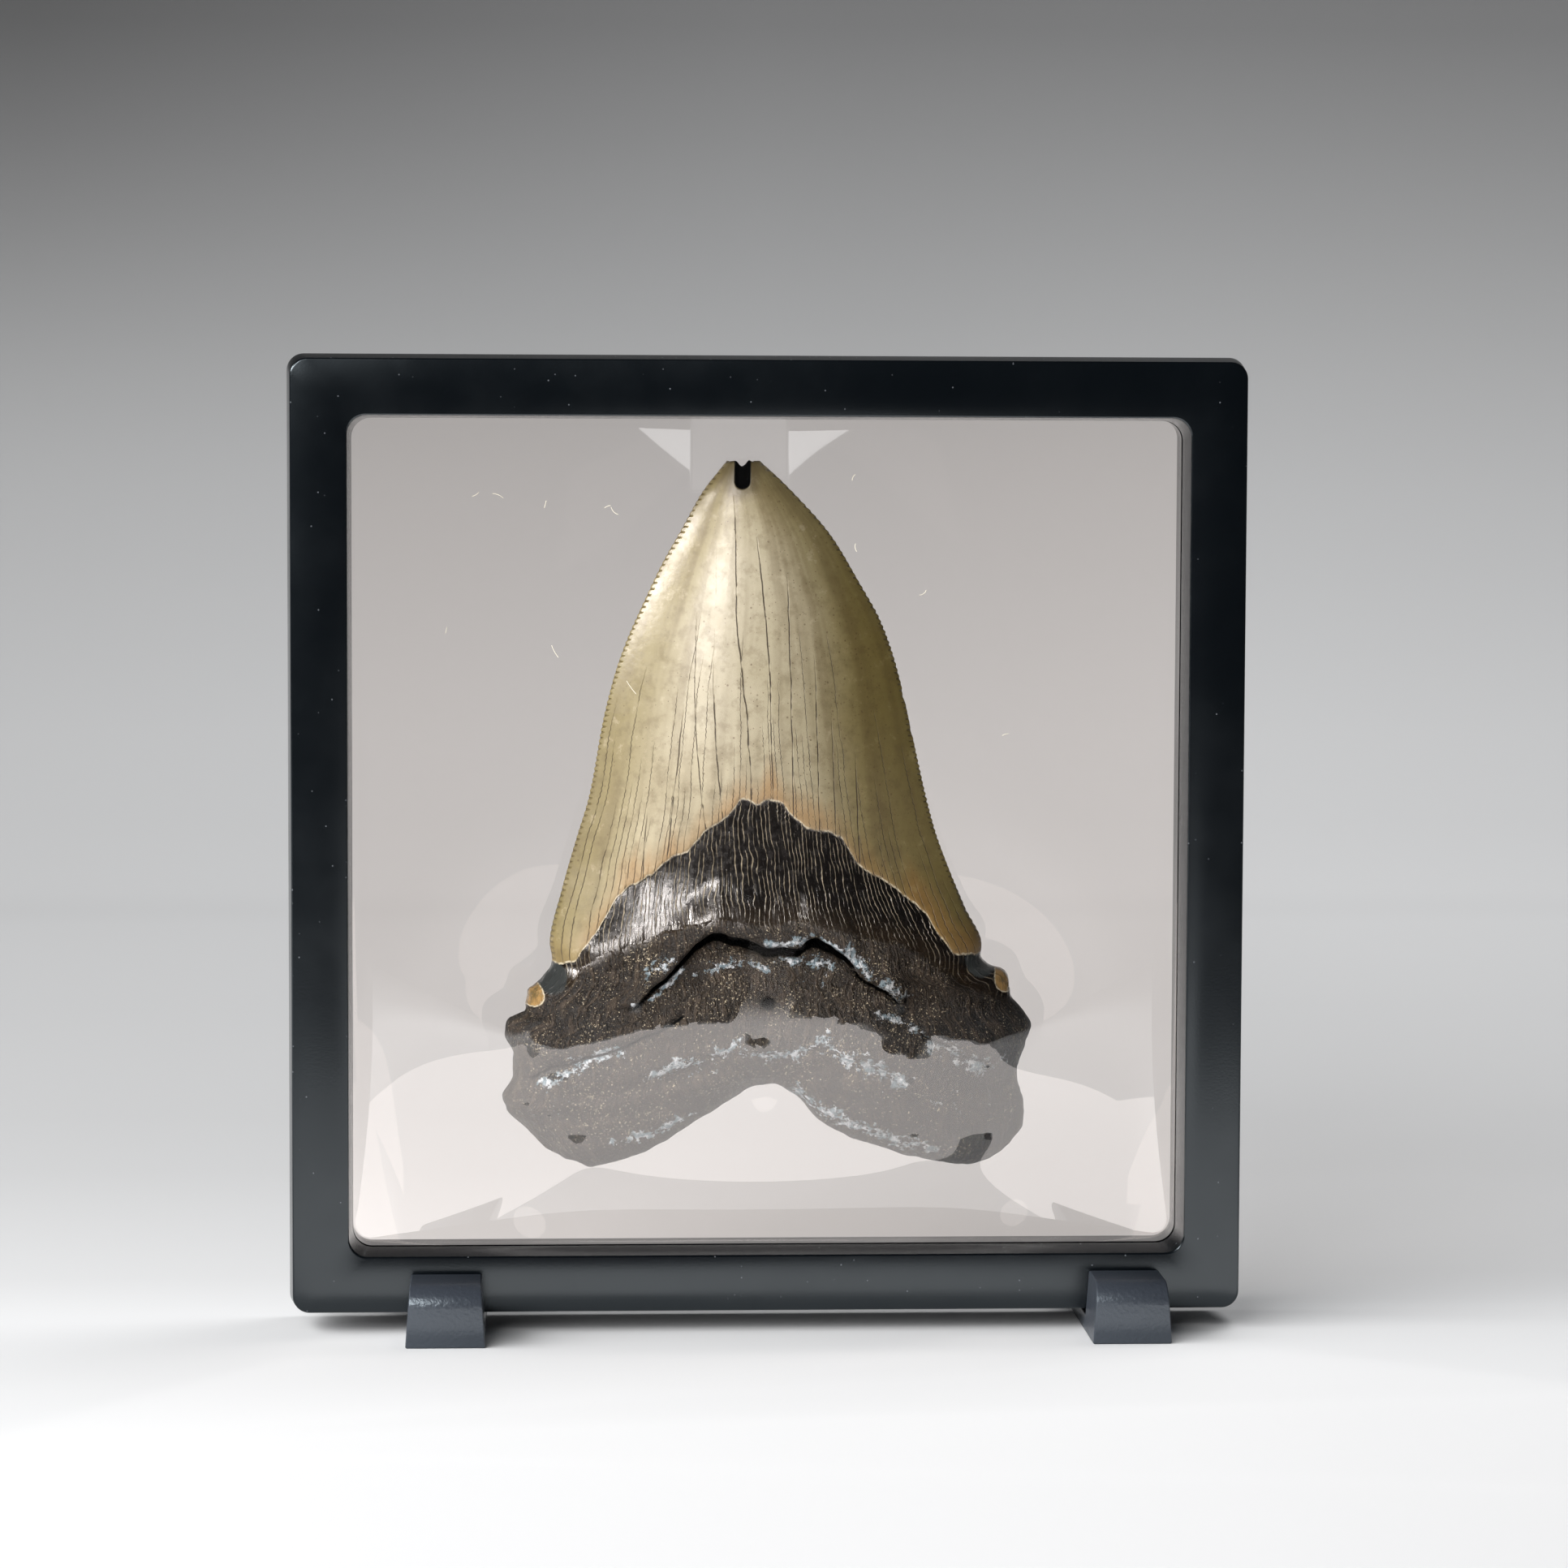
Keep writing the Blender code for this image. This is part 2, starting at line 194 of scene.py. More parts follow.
def noiseNode(tree, vector, scale, detail=3.0, roughness=0.5):
    inputs = {"Vector": vector, "Scale": scale, "Detail": detail, "Roughness": roughness}
    return addNode(tree, "ShaderNodeTexNoise", inputs).outputs["Fac"]


def attributeValue(tree, name):
    return addNode(tree, "ShaderNodeAttribute", attribute_name=name).outputs["Fac"]


def shaderTools(tree):  # the helpers above, tied to one tree
    return [partial(helper, tree) for helper in (addNode, mathNode, rampNode, mixColour, noiseNode)]


def newMaterial(name):
    material = bpy.data.materials.new(name)
    material.use_nodes = True
    tree = material.node_tree
    return material, tree, tree.nodes["Principled BSDF"]


def bareMaterial(name, buildSurface):  # a material whose surface isn't the usual plastic-like shader
    material = bpy.data.materials.new(name)
    material.use_nodes = True
    tree = material.node_tree
    tree.nodes.clear()
    output = addNode(tree, "ShaderNodeOutputMaterial")
    tree.links.new(buildSurface(tree), output.inputs["Surface"])
    return material


def newGroup(name, inputs, outputs):
    group = bpy.data.node_groups.new(name, "ShaderNodeTree")
    for label, kind, value in inputs:
        socket = group.interface.new_socket(label, in_out="INPUT", socket_type=kind)
        socket.default_value = value
    for label, kind in outputs:
        group.interface.new_socket(label, in_out="OUTPUT", socket_type=kind)
    entry, leave = group.nodes.new("NodeGroupInput"), group.nodes.new("NodeGroupOutput")
    return group, entry, leave


def shapeTree(name, sizes, steps=()):  # a Geometry Nodes tree with its sizes and material as named inputs
    tree = bpy.data.node_groups.new(name, "GeometryNodeTree")
    tree.interface.new_socket("Geometry", in_out="INPUT", socket_type="NodeSocketGeometry")
    for label, value in sizes:
        socket = tree.interface.new_socket(label, in_out="INPUT", socket_type="NodeSocketFloat")
        socket.default_value = value
    for label, value in steps:
        socket = tree.interface.new_socket(label, in_out="INPUT", socket_type="NodeSocketInt")
        socket.default_value = value
    tree.interface.new_socket("Material", in_out="INPUT", socket_type="NodeSocketMaterial")
    tree.interface.new_socket("Geometry", in_out="OUTPUT", socket_type="NodeSocketGeometry")
    return tree, tree.nodes.new("NodeGroupInput"), tree.nodes.new("NodeGroupOutput")


def finishShape(tree, geometry, material, leave):
    whole = addNode(tree, "GeometryNodeRealizeInstances", {0: geometry})
    dressed = addNode(tree, "GeometryNodeSetMaterial", {0: whole.outputs[0], "Material": material})
    tree.links.new(dressed.outputs[0], leave.inputs[0])


def applyShape(piece, tree, inputs):  # inputs are set by identifier before the first evaluation
    shape = piece.modifiers.new("shape", "NODES")
    shape.node_group = tree
    for item in tree.interface.items_tree:
        if item.item_type == "SOCKET" and item.in_out == "INPUT" and item.name in inputs:
            shape[item.identifier] = inputs[item.name]


print("helpers ready")

# The tooth: outline and faces, heights measured from the lowest point of the root lobes
tooth = {
    "base": 30.1,            # lobes above the table
    "columns": 150,          # even, the back face has half as many
    "rootRows": 96,
    "crownRows": 336,
    "crownFrom": 38.0,
    "crownTo": 129.6,
    "mapWidth": 90,          # the map's columns across the tooth
    "serration": 0.34,
    "serrationPitch": 1.05,
    "notchDepth": 0.9,
    "edgeBack": 1.8,         # how far back the cutting edges lie
    "crownRound": 2.1,       # power of the crown's section, 2 is a parabola
    "rootRound": 10.0,       # how far in from its outline the root rounds off, front and back
    "backRound": 8.0,
    "rootFlat": 0.22,
    "lobeArch": 5.0,         # how much lower the relief runs in the lobes
    "pocket": [(-4.9, 129.5), (-4.7, 137.0)],   # middle line of the dark pocket in the tip
    "pocketRadius": 1.35,
    "pocketDepth": 1.7,
    "ledge": 1.7,
    "enamelStep": 0.35,
    "furrow": 0.9,           # depth of the side cracks
    "lumps": 0.55,
    "rootGrain": 0.2,
    "folds": 0.28,
    "flutes": 0.1,
    "backStep": 0.3,
    "backLumps": 0.6,
    "backGrain": 0.18,
    "notchSpan": (0.22, 0.46, 0.7),   # where the tip's notch starts, is deepest and ends, as shares
    "seed": 11,
    "edgeSeeds": {"left": 11, "right": 61},
    # how ragged each border is, in millimetres, the size of its waves and its own seed
    "ragged": {
        "enamelLine": (0.45, 1.6, 7), "backEnamelLine": (0.7, 2.4, 100), "bandLine": (0.5, 2.4, 70),
        "mainCrack": (0.5, 3.0, 5)},
    "leftEdge": [
        (3.7, -41.7), (8.2, -46.1), (10.9, -49.2), (13.3, -49.8), (17.4, -47.8), (21.5, -47.8),
        (25.9, -49.8), (28.2, -49.4), (29.9, -46.1), (31.0, -45.7), (33.8, -45.2), (34.6, -44.0),
        (39.0, -40.6), (42.6, -41.0), (52.7, -38.7), (62.2, -36.0), (69.6, -33.8), (86.4, -30.6),
        (98.5, -27.0), (106.9, -23.3), (114.0, -19.9), (120.4, -16.3), (127.4, -12.4), (133.3, -7.8)],
    "rightEdge": [
        (4.1, 46.2), (8.1, 48.8), (12.3, 48.9), (17.0, 47.8), (22.5, 48.8), (27.3, 50.1),
        (29.2, 49.4), (32.1, 46.9), (35.6, 46.3), (37.4, 45.3), (38.3, 42.4), (40.2, 40.6),
        (42.3, 40.8), (49.2, 37.7), (62.8, 32.3), (81.1, 27.7), (95.9, 24.2), (103.3, 21.5),
        (111.0, 17.1), (119.4, 12.0), (129.1, 3.2), (133.4, -1.5)],
    "bottomEdge": [
        (-41.7, 3.7), (-36.3, 0.8), (-33.0, 0.0), (-24.5, 2.0), (-12.3, 9.1), (-5.5, 13.5),
        (-2.1, 15.2), (1.2, 15.5), (4.6, 14.1), (11.4, 7.6), (18.3, 4.5), (31.9, 0.7),
        (37.3, 0.0), (42.1, 1.3), (46.2, 4.1)],
    "frontSpine": [
        (0.0, 7.6), (10.0, 8.8), (17.0, 10.0), (24.0, 11.9), (30.0, 12.3), (36.0, 11.4),
        (42.0, 11.0), (48.0, 11.9), (56.0, 11.5), (70.0, 10.9), (88.0, 9.3), (106.0, 7.0),
        (122.0, 4.2), (131.0, 2.2), (134.0, 1.3)],
    "backSpine": [
        (0.0, 7.2), (12.0, 9.4), (24.0, 10.8), (36.0, 10.4), (42.0, 8.6), (48.0, 9.0),
        (60.0, 8.0), (90.0, 5.4), (118.0, 2.6), (134.0, 1.0)],
    # X and height of the enamel's lower border, the dark band's lower border and the cracks
    "enamelLine": [
        (-41.5, 39.2), (-37.1, 39.1), (-34.7, 42.3), (-30.8, 47.6), (-27.4, 52.6), (-23.5, 55.0),
        (-19.5, 58.3), (-15.5, 60.6), (-11.5, 64.6), (-7.5, 67.3), (-4.9, 70.3), (-2.2, 69.8),
        (1.1, 70.3), (3.8, 67.6), (7.2, 64.9), (12.2, 63.9), (17.2, 57.6), (21.3, 54.9),
        (26.0, 51.5), (29.3, 48.9), (31.4, 45.5), (36.1, 40.8), (41.0, 40.6)],
    "bandLine": [
        (-45.0, 30.5), (-40.1, 33.4), (-32.8, 38.4), (-26.1, 42.4), (-22.1, 43.7), (-16.8, 45.7),
        (-10.2, 47.0), (-3.5, 46.3), (4.5, 47.0), (10.5, 46.3), (17.2, 44.3), (25.9, 42.3),
        (32.6, 38.2), (38.0, 34.8), (45.0, 32.0)],
    "mainCrack": [
        (-25.5, 31.5), (-21.8, 34.7), (-18.6, 37.9), (-16.0, 41.0), (-12.9, 43.4), (-10.3, 44.5),
        (-7.1, 44.6), (-3.4, 43.6), (-0.3, 42.3), (2.9, 42.0), (6.0, 42.6), (8.7, 43.4),
        (11.3, 42.2), (15.0, 39.9), (17.1, 37.2), (20.8, 35.1), (22.9, 34.1), (25.3, 30.6)],
    "sideCracks": [
        [(-44.5, 17.6), (-40.6, 20.0), (-37.5, 20.5), (-34.4, 21.8), (-30.7, 22.6), (-27.0, 23.9),
         (-23.9, 25.7), (-20.7, 26.8), (-18.1, 28.4), (-16.0, 29.9)],
        [(29.3, 25.6), (33.6, 24.0), (36.7, 21.8), (41.5, 20.8)],
        [(26.1, 34.0), (25.3, 31.9), (25.1, 29.8)],
        [(-20.0, 18.0), (-14.0, 20.4), (-7.5, 23.2), (-3.4, 22.4), (4.5, 21.8), (9.8, 24.0),
         (15.1, 20.8), (24.0, 17.6)]],
    # pale mineral grown along lines on the root: X, height, and how far it spreads
    "mineralLines": [
        (2.2, [(15.0, 41.4), (17.1, 39.2), (19.2, 36.9), (22.4, 35.0), (24.6, 33.6)]),
        (1.5, [(-0.3, 43.9), (2.9, 43.4), (7.6, 44.0), (10.8, 43.1), (14.5, 41.2)]),
        (0.9, [(-26.0, 31.6), (-23.4, 32.4), (-20.7, 34.0), (-18.1, 36.6), (-16.0, 38.6)]),
        (1.9, [(-22.8, 37.9), (-21.3, 38.7), (-19.2, 39.4)]),
        (1.3, [(-13.9, 37.3), (-5.5, 40.4), (-0.8, 38.9), (1.8, 40.4), (6.6, 39.9), (11.8, 38.8)]),
        (1.1, [(20.3, 30.1), (23.0, 29.3), (25.1, 28.2), (27.7, 27.2)]),
        (1.9, [(-41.8, 17.3), (-38.5, 18.0), (-36.0, 20.4), (-32.4, 21.9), (-28.1, 23.1)]),
        (2.2, [(-21.8, 18.8), (-18.6, 20.2), (-14.9, 20.9), (-11.3, 21.5), (-8.1, 23.0), (-6.5, 24.1)]),
        (1.7, [(-6.5, 24.1), (-3.4, 23.0), (0.3, 21.9), (4.5, 22.2), (6.6, 23.0), (9.8, 25.1)]),
        (2.5, [(9.8, 25.1), (12.4, 23.0), (15.1, 21.4), (19.3, 20.3), (22.5, 18.7), (25.1, 17.6)]),
        (2.0, [(29.8, 25.0), (33.6, 24.0), (36.7, 21.4), (39.9, 19.7), (43.6, 20.7)]),
        (1.5, [(-29.0, 5.7), (-25.4, 6.2), (-21.1, 7.8), (-16.9, 9.4), (-14.3, 10.7)]),
        (1.8, [(5.3, 15.2), (7.9, 13.0), (10.6, 11.4), (15.9, 8.7), (20.1, 7.1), (23.9, 5.5), (31.8, 3.6)])],
    # mineral scattered in small flakes: X, height, reach
    "flakeFields": [(36.0, 12.5, 11.0), (-40.0, 13.0, 6.0), (8.0, 39.0, 7.0), (-12.0, 40.0, 7.0)],
    "crackOpening": [   # how far the main crack gapes along X
        (-26.0, 0.12), (-19.0, 0.3), (-13.0, 0.65), (-6.0, 0.8), (3.0, 0.7), (9.0, 0.85), (13.0, 0.5),
        (18.0, 0.22), (25.5, 0.15)],
    "foramen": (-0.2, 32.1, 1.5, 2.4),   # X, height, radius, depth
    "pit": (26.7, 17.4, 0.8, 1.2),
    "backEnamelLine": [
        (-42.0, 39.5), (-28.0, 43.5), (-12.0, 47.5), (0.0, 49.0), (14.0, 46.5), (28.0, 42.5), (42.0, 39.5)],
    # long cracks down the enamel: X at a few heights, and the height where each one starts
    "enamelCracks": [
        ([(118, -19.0), (90, -24.0), (60, -27.0)], 62.0),
        ([(118, -15.0), (90, -20.5), (60, -23.5)], 70.0),
        ([(118, -13.4), (99, -14.8), (60, -19.0)], 88.0),
        ([(112, -13.4), (89, -14.0), (63, -11.8)], 106.0),
        ([(112, -10.0), (90, -10.4), (64, -8.6)], 96.0),
        ([(128, -6.6), (118, -6.2), (106, -6.2), (93, -5.0), (85, -4.1), (71, -3.4)], 128.0),
        ([(121, -2.4), (91, 0.2), (70, 0.6)], 120.0),
        ([(113, 3.4), (91, 4.0), (70, 4.4)], 113.0),
        ([(112, 7.4), (95, 8.6), (66, 9.4)], 98.0),
        ([(112, 9.6), (95, 11.2), (66, 12.4)], 86.0),
        ([(112, 12.4), (95, 15.2), (62, 17.0)], 80.0),
        ([(112, 15.0), (95, 18.6), (58, 21.6)], 68.0)],
}


def edgePlane(height):  # the cutting edges lie nearer the flat back face
    return tooth["edgeBack"] * step(height, 30.0, 60.0)


def serrationPhase(side, height):
    seed = tooth["edgeSeeds"][side]
    return height / tooth["serrationPitch"] + 0.5 * valueNoise(height, 0 * height, 9.0, seed)


def toothEdge(side, height):  # outline with its worn serrations and chips
    sign, table = (-1, tooth["leftEdge"]) if side == "left" else (1, tooth["rightEdge"])
    seed = tooth["edgeSeeds"][side]
    crown = step(height, 41.0, 46.0) * (1 - 0.6 * step(height, 124.0, 131.0))
    teeth = np.abs((serrationPhase(side, height) % 1.0) - 0.5) * 2
    wear = 0.55 + 0.45 * valueNoise(height, 0 * height, 6.0, seed + 1)
    chips = np.minimum(valueNoise(height, 0 * height, 2.3, seed + 2) + 0.55, 0.0) * 0.7
    rough = 0.45 * roughNoise(height, 0 * height, 3.0, 3, seed + 3) * (1 - step(height, 34.0, 44.0))
    return along(table, height) + sign * (crown * (chips - tooth["serration"] * wear * teeth) + rough)


def facePlan(x, height, spine, edgeRound):  # thickness of one face, and where it is full
    left, right = along(tooth["leftEdge"], height), along(tooth["rightEdge"], height)
    middle, half = (left + right) / 2, (right - left) / 2
    across = np.clip((x - middle) / np.maximum(half, 0.1), -1.0, 1.0)
    crown = 1 - np.abs(across) ** tooth["crownRound"]
    root = dome(half * (1 - np.abs(across)), edgeRound) * (1 - tooth["rootFlat"] * across ** 2)
    root = root * dome(height - along(tooth["bottomEdge"], x), edgeRound)
    arch = tooth["lobeArch"] * step(np.abs(x), 6.0, 34.0) * (1 - step(height, 40.0, 60.0))
    return along(spine, height + arch) * (root + (crown - root) * step(height, 36.0, 58.0)), root


def borderAt(name, x):  # height of a border through its points, made ragged
    amount, cell, seed = tooth["ragged"][name]
    return along(tooth[name], x) + amount * roughNoise(x, 0 * x, cell, 3, tooth["seed"] + seed)


def frontDepth(x, height):
    depth, body = facePlan(x, height, tooth["frontSpine"], tooth["rootRound"])
    seed = tooth["seed"]
    inside = step(x, -29.0, -24.0) * (1 - step(x, 24.0, 27.5))
    above = height - borderAt("mainCrack", x)
    opening = along(tooth["crackOpening"], x)
    groove = (1.0 + 1.3 * opening) * np.exp(-((above + 0.4) / (0.45 + 0.65 * opening)) ** 2)
    ledge = tooth["ledge"] * step(above, -0.4, 0.7) * (1 - step(above, 2.0, 11.0))
    depth = depth + inside * (ledge - groove)
    for number, crack in enumerate(tooth["sideCracks"]):
        wobble = 0.35 * roughNoise(x, height, 2.5, 2, seed + 20 + number)
        near = lineDistance(x, height + wobble, crack)
        depth = depth - tooth["furrow"] * np.exp(-(near / 0.7) ** 2)
    for px, pz, radius, deep in (tooth["foramen"], tooth["pit"]):
        depth = depth - deep * (1 - step(np.hypot(x - px, height - pz), 0.35 * radius, radius))
    pocketEdge = lineDistance(x, height, tooth["pocket"]) - tooth["pocketRadius"]
    depth = depth - tooth["pocketDepth"] * (1 - step(pocketEdge, -0.5, 0.15))
    enamel = height - borderAt("enamelLine", x)
    depth = depth + tooth["enamelStep"] * step(enamel, -0.25, 0.45) * body
    rootZone = (1 - step(height - along(tooth["bandLine"], x), -2.5, 1.0)) * body
    lumps = tooth["lumps"] * roughNoise(x * 0.7, height, 6.5, 2, seed + 9)
    lumps = lumps + tooth["rootGrain"] * roughNoise(x, height, 1.9, 3, seed + 12)
    sway = 2.2 * valueNoise(x, height, 13.0, seed + 15)
    folds = tooth["folds"] * np.sin((height + sway + 0.12 * np.abs(x)) * 1.15)
    band = step(height - along(tooth["bandLine"], x), -1.0, 1.5) * (1 - step(enamel, -2.0, 0.0))
    flutes = tooth["flutes"] * valueNoise(x, height * 0.12, 1.5, seed + 17) * band
    return np.maximum(depth + rootZone * (lumps + folds) + flutes, 0.2)


def backDepth(x, height):
    depth, body = facePlan(x, height, tooth["backSpine"], tooth["backRound"])
    seed = tooth["seed"] + 100
    enamel = height - borderAt("backEnamelLine", x)
    rootZone = (1 - step(enamel, -2.0, 0.5)) * body
    lumps = tooth["backLumps"] * roughNoise(x * 0.7, height, 8.0, 2, seed + 1)
    lumps = lumps + tooth["backGrain"] * roughNoise(x, height, 1.9, 3, seed + 3)
    border = tooth["backStep"] * step(enamel, -0.3, 0.4) * body
    return np.maximum(depth - 0.5 * rootZone + border + rootZone * lumps, 0.2)


def toothPoint(u, v):
    lowLeft, lowRight = tooth["leftEdge"][0][0], tooth["rightEdge"][0][0]
    leftHeight = lowLeft + v * (tooth["leftEdge"][-1][0] - lowLeft)
    rightHeight = lowRight + v * (tooth["rightEdge"][-1][0] - lowRight)
    x = (1 - u) * toothEdge("left", leftHeight) + u * toothEdge("right", rightHeight)
    height = (1 - u) * leftHeight + u * rightHeight
    baseX = (1 - u) * tooth["leftEdge"][0][1] + u * tooth["rightEdge"][0][1]
    baseRough = 0.25 * roughNoise(baseX, 0 * baseX, 2.5, 3, tooth["seed"] + 60)
    baseRise = along(tooth["bottomEdge"], baseX) + baseRough - ((1 - u) * lowLeft + u * lowRight)
    start, middle, end = tooth["notchSpan"]
    notch = tooth["notchDepth"] * step(u, start, middle) * (1 - step(u, middle, end))
    rim = 0.35 * roughNoise(u * 8, 0 * u, 1.4, 2, tooth["seed"] + 61)
    return x, height + (1 - v) ** 1.3 * baseRise - v ** 14 * (notch + rim)


def crackFields(x, height):  # a phase that is whole at each long crack, and how far open it is there
    phase, show = np.zeros(x.shape), np.zeros(x.shape)
    places = np.array([along(sorted(points), height) for points, _ in tooth["enamelCracks"]])
    opened = np.array([1 - step(height, start - 8.0, start) for _, start in tooth["enamelCracks"]])
    for index in range(len(places) - 1):
        low, high = places[index], places[index + 1]
        t = np.clip((x - low) / np.maximum(high - low, 0.3), 0, 1)
        phase += t
        here = (x >= low) & (x < high)
        show = np.where(here, opened[index] * (1 - t) + opened[index + 1] * t, show)
    outside = (x < places[0]) | (x >= places[-1])
    phase = phase + np.where(x < places[0], -0.45, 0.0) + np.where(x >= places[-1], 0.45, 0.0)
    return phase, np.where(outside, 0, show)


# what the material reads: each field on the front, and what it is on the back
def toothFields(x, height):
    frontEnamel = height - borderAt("enamelLine", x)
    backEnamel = height - borderAt("backEnamelLine", x)
    band = height - borderAt("bandLine", x)
    crackRise = height - borderAt("mainCrack", x) + 0.4
    crackFrom, crackTo = tooth["mainCrack"][0][0], tooth["mainCrack"][-1][0]
    nearMain = np.hypot(crackRise, np.maximum(0.0, np.maximum(crackFrom - x, x - crackTo)))
    # the last side crack is only a furrow, so it isn't darkened
    nearSide = [lineDistance(x, height, crack) - 0.08 for crack in tooth["sideCracks"][:-1]]
    crackNear = np.minimum.reduce([nearMain - along(tooth["crackOpening"], x)] + nearSide)
    mineral = [lineDistance(x, height, line) / spread for spread, line in tooth["mineralLines"]]
    flakes = [np.hypot(x - fx, height - fz) / reach for fx, fz, reach in tooth["flakeFields"]]
    pits = [np.hypot(x - px, height - pz) / radius
            for px, pz, radius, _ in (tooth["foramen"], tooth["pit"])]
    pocketEdge = lineDistance(x, height, tooth["pocket"]) - tooth["pocketRadius"]
    ticks = np.where(x < -2.0, serrationPhase("left", height), serrationPhase("right", height))
    edgeNear = np.minimum(x - along(tooth["leftEdge"], height), along(tooth["rightEdge"], height) - x)
    phase, show = crackFields(x, height)
    return {
        "enamelEdge": (frontEnamel * 0.8, backEnamel), "bandEdge": (band, -5.0),
        "crackNear": (crackNear, 9.0), "edgeNear": (edgeNear, edgeNear),
        "mineralNear": (np.minimum.reduce(mineral), 3.0), "flakeNear": (np.minimum.reduce(flakes), 2.0),
        "pocketEdge": (pocketEdge, 5.0), "pitNear": (np.minimum.reduce(pits), 9.0),
        "edgeTicks": (ticks, ticks), "crackPhase": (phase, phase), "crackShow": (show, 0.0)}


def buildTooth():
    rootHeights = np.linspace(0, tooth["crownFrom"], tooth["rootRows"])[:-1]
    crownHeights = np.linspace(tooth["crownFrom"], tooth["crownTo"], tooth["crownRows"])
    heights = np.concatenate([rootHeights, crownHeights])
    rows = heights / heights[-1]
    even = np.linspace(0.0, 1.0, tooth["columns"] + 1)
    u, v = np.meshgrid(0.6 * even + 0.4 * (0.5 - 0.5 * np.cos(math.pi * even)), rows)
    x, height = toothPoint(u, v)
    rowCount, columnCount = x.shape
    depth = np.zeros(x.shape)
    depth[1:-1, 1:-1] = frontDepth(x, height)[1:-1, 1:-1]   # none at the outline, where the faces meet
    frontY = edgePlane(height) - depth
    front = np.stack([x, frontY, height + tooth["base"]], -1).reshape(-1, 3)
    # the back keeps every second column and shares the outline's points
    halfX, halfHeight = x[1:-1, 2:-1:2], height[1:-1, 2:-1:2]
    backY = edgePlane(halfHeight) + backDepth(halfX, halfHeight)
    back = np.stack([halfX, backY, halfHeight + tooth["base"]], -1).reshape(-1, 3)
    backColumns = halfX.shape[1]

    def backIndex(row, column):  # column counts the back's own columns, 0 and last are the outline
        if row in (0, rowCount - 1) or column in (0, backColumns + 1):
            return row * columnCount + column * 2
        return len(front) + (row - 1) * backColumns + column - 1

    grid = np.arange(rowCount * columnCount).reshape(rowCount, columnCount)
    quads = np.stack([grid[:-1, :-1], grid[:-1, 1:], grid[1:, 1:], grid[1:, :-1]], -1).reshape(-1, 4)
    faces = quads.tolist()
    for row in range(rowCount - 1):
        for column in range(backColumns + 1):
            ring = [backIndex(row, column), backIndex(row, column + 1),
                    backIndex(row + 1, column + 1), backIndex(row + 1, column)]
            if row == 0:
                ring.insert(1, column * 2 + 1)
            if row == rowCount - 2:
                ring.insert(3, (rowCount - 1) * columnCount + column * 2 + 1)
            faces.append(ring[::-1])
    piece = meshObject("tooth_fossil", np.concatenate([front, back]), faces)
    shadeRound(piece, 60)
    allX = np.concatenate([x.ravel(), halfX.ravel()])
    allHeight = np.concatenate([height.ravel(), halfHeight.ravel()])
    isBack = np.arange(allX.size) >= x.size
    mesh = piece.data
    for name, (onFront, onBack) in toothFields(allX, allHeight).items():
        pointAttribute(mesh, name, np.where(isBack, onBack, onFront))
    layer = mesh.uv_layers.new(name="toothMap")
    columnAt = np.concatenate([u.ravel(), u[1:-1, 2:-1:2].ravel()]) * tooth["mapWidth"]
    corner = np.zeros(len(mesh.loops), np.int32)
    mesh.loops.foreach_get("vertex_index", corner)
    mapped = np.stack([columnAt[corner], allHeight[corner]], -1)
    layer.data.foreach_set("uv", mapped.astype(np.float32).ravel())
    return piece


def roundPatch(tree, position, centre, radius):  # distance from a place on the front, in radii
    vector = partial(addNode, tree, "ShaderNodeVectorMath")
    offset = vector({0: position, 1: centre}, operation="SUBTRACT")
    flat = vector({0: offset.outputs[0], 1: (1.0, 0.25, 1.0)}, operation="MULTIPLY")
    reach = vector({0: flat.outputs[0]}, operation="LENGTH")
    return mathNode(tree, "DIVIDE", reach.outputs["Value"], radius)


fossilFinish = {
    "enamelOlive": (0.24, 0.205, 0.095),
    "enamelCream": (0.48, 0.445, 0.335),
    "enamelTan": (0.33, 0.20, 0.08),
    "enamelShade": (0.12, 0.088, 0.038),
    "enamelShadow": (0.62, 0.57, 0.36),      # painted shade: how much the right flank, partly stained, and the lower crown are darkened
    "lowerShadow": (0.30, 0.27, 0.24),       # the same painted shade for the band and the root
    "freckle": (0.075, 0.042, 0.014),
    "enamelCrack": (0.03, 0.018, 0.008),
    "enamelRim": (0.50, 0.45, 0.33),
    "band": (0.0045, 0.0032, 0.0026),
    "bandBrown": (0.022, 0.014, 0.007),
    "bandGrain": (0.36, 0.31, 0.22),
    "root": (0.006, 0.0044, 0.003),
    "rootLight": (0.06, 0.044, 0.030),
    "rootGrainAndGlint": (0.50, 0.44, 0.32),
    "mineral": (0.62, 0.66, 0.70),
    "mineralBlue": (0.20, 0.27, 0.31),
    "spur": (0.32, 0.20, 0.075),
    "neck": (0.030, 0.034, 0.034),
    # near black painted shade for the openings of cracks and pits and the tip's pocket
    "dark": (0.0015, 0.0015, 0.0015),
    # centre, radius of the amber spurs and the grey neck pieces beside them
    "spurs": [((-0.0443, -0.002, 0.0632), 0.0022), ((0.0447, -0.002, 0.0660), 0.0024)],
    "necks": [((-0.0405, -0.002, 0.0668), 0.0030), ((0.0400, -0.002, 0.0695), 0.0032)],
}


